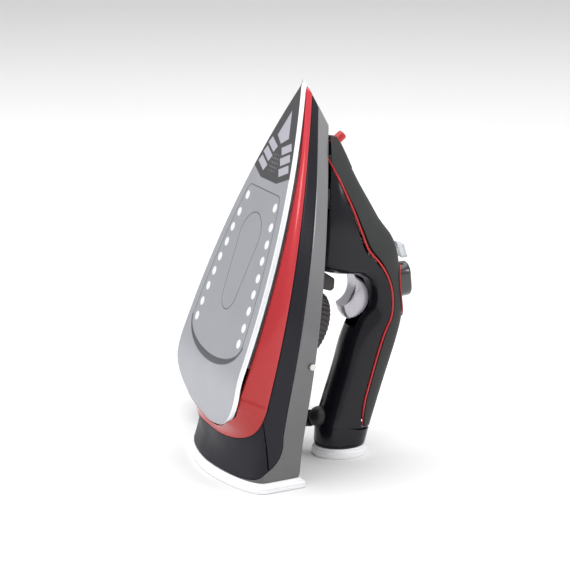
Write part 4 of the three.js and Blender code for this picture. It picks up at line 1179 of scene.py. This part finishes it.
# ---- controls ----
def make_controls():
    back, front = [], []
    for i in range(33):
        turn = math.radians(lerp(68, -72, i / 32))
        back.append((83.6 + 15.6 * math.cos(turn), 152.6 + 15.2 * math.sin(turn)))
        front.append((76 + 9.4 * math.cos(turn * 0.8), 157.4 + 14.2 * math.sin(turn * 0.8)))
    outline = [*back, (84, 141.5), *reversed(front)]
    rings = []
    rounding = (
        (-1, 1.6), (-0.94, 0.7), (-0.82, 0.15), (-0.6, 0), (0.6, 0), (0.82, 0.15), (0.94, 0.7), (1, 1.6),
    )
    for x, inset in rounding:
        middle = Vector((88, 154))
        rings.append([
            Vector((x * TRIGGER_HALF, *(Vector(p) + (middle - Vector(p)).normalized() * inset))) for p in outline
        ])
    finish_piece(from_iron("trigger_lever", wrap(rings)), ["trigger"], body="trigger", sharp=50)

    key = []
    dished = (
        (-6, -0.4), (-5.6, 0), (6.2, 0), (7.2, -0.35), (7.8, -1.0), (8, -1.9), (7.75, -3.2), (7.5, -5.0),
    )
    for out, grow in dished:
        key.append(slope_ring(BUTTON["width"], BUTTON["length"], BUTTON["along"], out, grow))
    finish_piece(from_iron("spray_key", wrap(key)), ["spray_button"], body="spray_button", sharp=35)

    outline = [(105.6, 199.2), (112, 199.6), (118.3, 191.6), (113.6, 189.6)]
    fin = from_iron("steam_paddle", side_prism(outline, -3.6, 3.6))
    stem = from_iron("tool_stem", slope_box(4.4, 4, 23, -19.5, -8.5))
    joined = fin.modifiers.new("join", "BOOLEAN")
    joined.operation, joined.solver, joined.object = "UNION", "EXACT", stem
    bpy.context.view_layer.update()
    bake(fin)
    bpy.data.objects.remove(stem)
    finish_piece(soften(fin, 0.9, 4, 40), ["steam_lever"], body="steam_lever", sharp=50)

    half = 7.4
    lid_profile = (
        (0.07, -1), (0.07, 0.6), (0.12, 1.2), (0.3, 1.9), (0.5, 2.0), (0.75, 1.7), (0.93, 1.1), (0.98, 0.5),
        (0.98, -1),
    )
    crown_from = 0.3
    flap_rings = []
    for k in range(13):
        x = lerp(-half, half, k / 12)
        crown = 1.1 * (1 - (x / half) ** 2)
        line = []
        for t, out in lid_profile:
            raised = crown * min(1, t / crown_from) if out > 0 else 0
            line.append(on_flap(t, out + raised))
        flap_rings.append([Vector((x, *p)) for p in line])
    lid = soften(from_iron("filler_lid", wrap(flap_rings)), 0.4, 3, 50)
    finish_piece(lid, ["filler_flap"], body="filler_flap", sharp=45)

    start, end = Vector((0, 35.9, 249.2)), Vector((0, 41.4, 258.6))
    long = (end - start).length
    profile = [(0, 0), (3.4, 0), (3.4, long - 1.4), (3.1, long - 0.5), (2.6, long - 0.1), (1.5, long)]
    profile += [(0.8, long - 0.2), (0.8, long - 5), (0, long - 5)]
    finish_piece(from_iron("spray_tip", turned(profile, start, end - start, 36)), ["spray_nozzle"], sharp=35)

    radius, low, high = DIAL["radius"], DIAL["low"], DIAL["high"]
    profile = [(0, 63), (20.5, 63), (20.5, low), (radius - 0.4, low), (radius, low + 0.5)]
    profile += [(radius, high - 4), (radius - 0.6, high - 2.4), (radius - 2.4, high - 0.8)]
    profile += [(radius - 5, high - 0.2), (radius - 8, high), (radius - 9, high - 0.5), (0, high - 0.5)]
    middle = Vector((0, 0, DIAL["along"]))
    knob = from_iron("dial_knob", turned(profile, middle, FROM_SOLE, 216, ribs=36, rib_depth=0.9))
    finish_piece(knob, ["temperature_dial"], body="dial", sharp=40)

    outline = [(59, 153), (68, 153.5), (69.5, 156), (67.5, 162.5), (55, 165.5)]
    index = from_iron("dial_index", side_prism(outline, -9, 9))
    soften(index, 1.2, 4, 40)
    finish_piece(cut(index, under_deck(0.35)), ["dial_pointer"], sharp=45)

    lens = [(0, 0), (2.2, 0), (2.15, 0.5), (1.9, 0.85), (1.4, 1.05), (0.7, 1.18), (0, 1.2)]
    lamp = from_iron("lamp_lens", turned(lens, Vector((57.75, 49.5, 106)), Vector((1, 0.05, 0)), 28))
    finish_piece(lamp, ["indicator_lamp"], sharp=50)


make_controls()


# ---- the CAD nodes that still show ----
for node, obj in frame["nodes"].items():
    obj.data.materials.clear()
    obj.data.materials.append(FINISHES[SLOT_OF[node]])


# ---- floor and light ----
FLOOR_HALF = 6.0
WORLD_STRENGTH = 0.62
LIGHTS = (
    ("key", (-0.5, -1.9, 1.0), 1.3, 14),
    ("side", (1.3, 1.5, 0.9), 0.5, 5),
    ("top", (0.0, 0.0, 2.3), 3.2, 60),
)


def make_stage():
    half = FLOOR_HALF
    corners = [(-half, -half, 0), (half, -half, 0), (half, half, 0), (-half, half, 0)]
    floor = link_mesh("floor", corners, [(0, 1, 2, 3)])
    material, tree, base = shader("floor_finish")
    pale = mix(tree, noise(tree, 3), (0.86, 0.86, 0.86), (0.88, 0.88, 0.88))
    tree.links.new(pale, base.inputs["Base Color"])
    base.inputs["Roughness"].default_value = 0.8
    floor.data.materials.append(material)
    world = bpy.data.worlds.new("world")
    world.use_nodes = True
    world.node_tree.nodes["Background"].inputs[0].default_value = (1, 1, 1, 1)
    world.node_tree.nodes["Background"].inputs[1].default_value = WORLD_STRENGTH
    bpy.context.scene.world = world
    bpy.context.scene.view_settings.view_transform = "Standard"
    aim = Vector((0, 0, 0.12))
    for name, place, size, power in LIGHTS:
        data = bpy.data.lights.new(name, "AREA")
        data.size, data.energy = size, power
        lamp = bpy.data.objects.new(name, data)
        bpy.context.scene.collection.objects.link(lamp)
        lamp.location = place
        lamp.rotation_mode = "QUATERNION"
        lamp.rotation_quaternion = (aim - Vector(place)).to_track_quat("-Z", "Y")


make_stage()

bpy.context.view_layer.update()
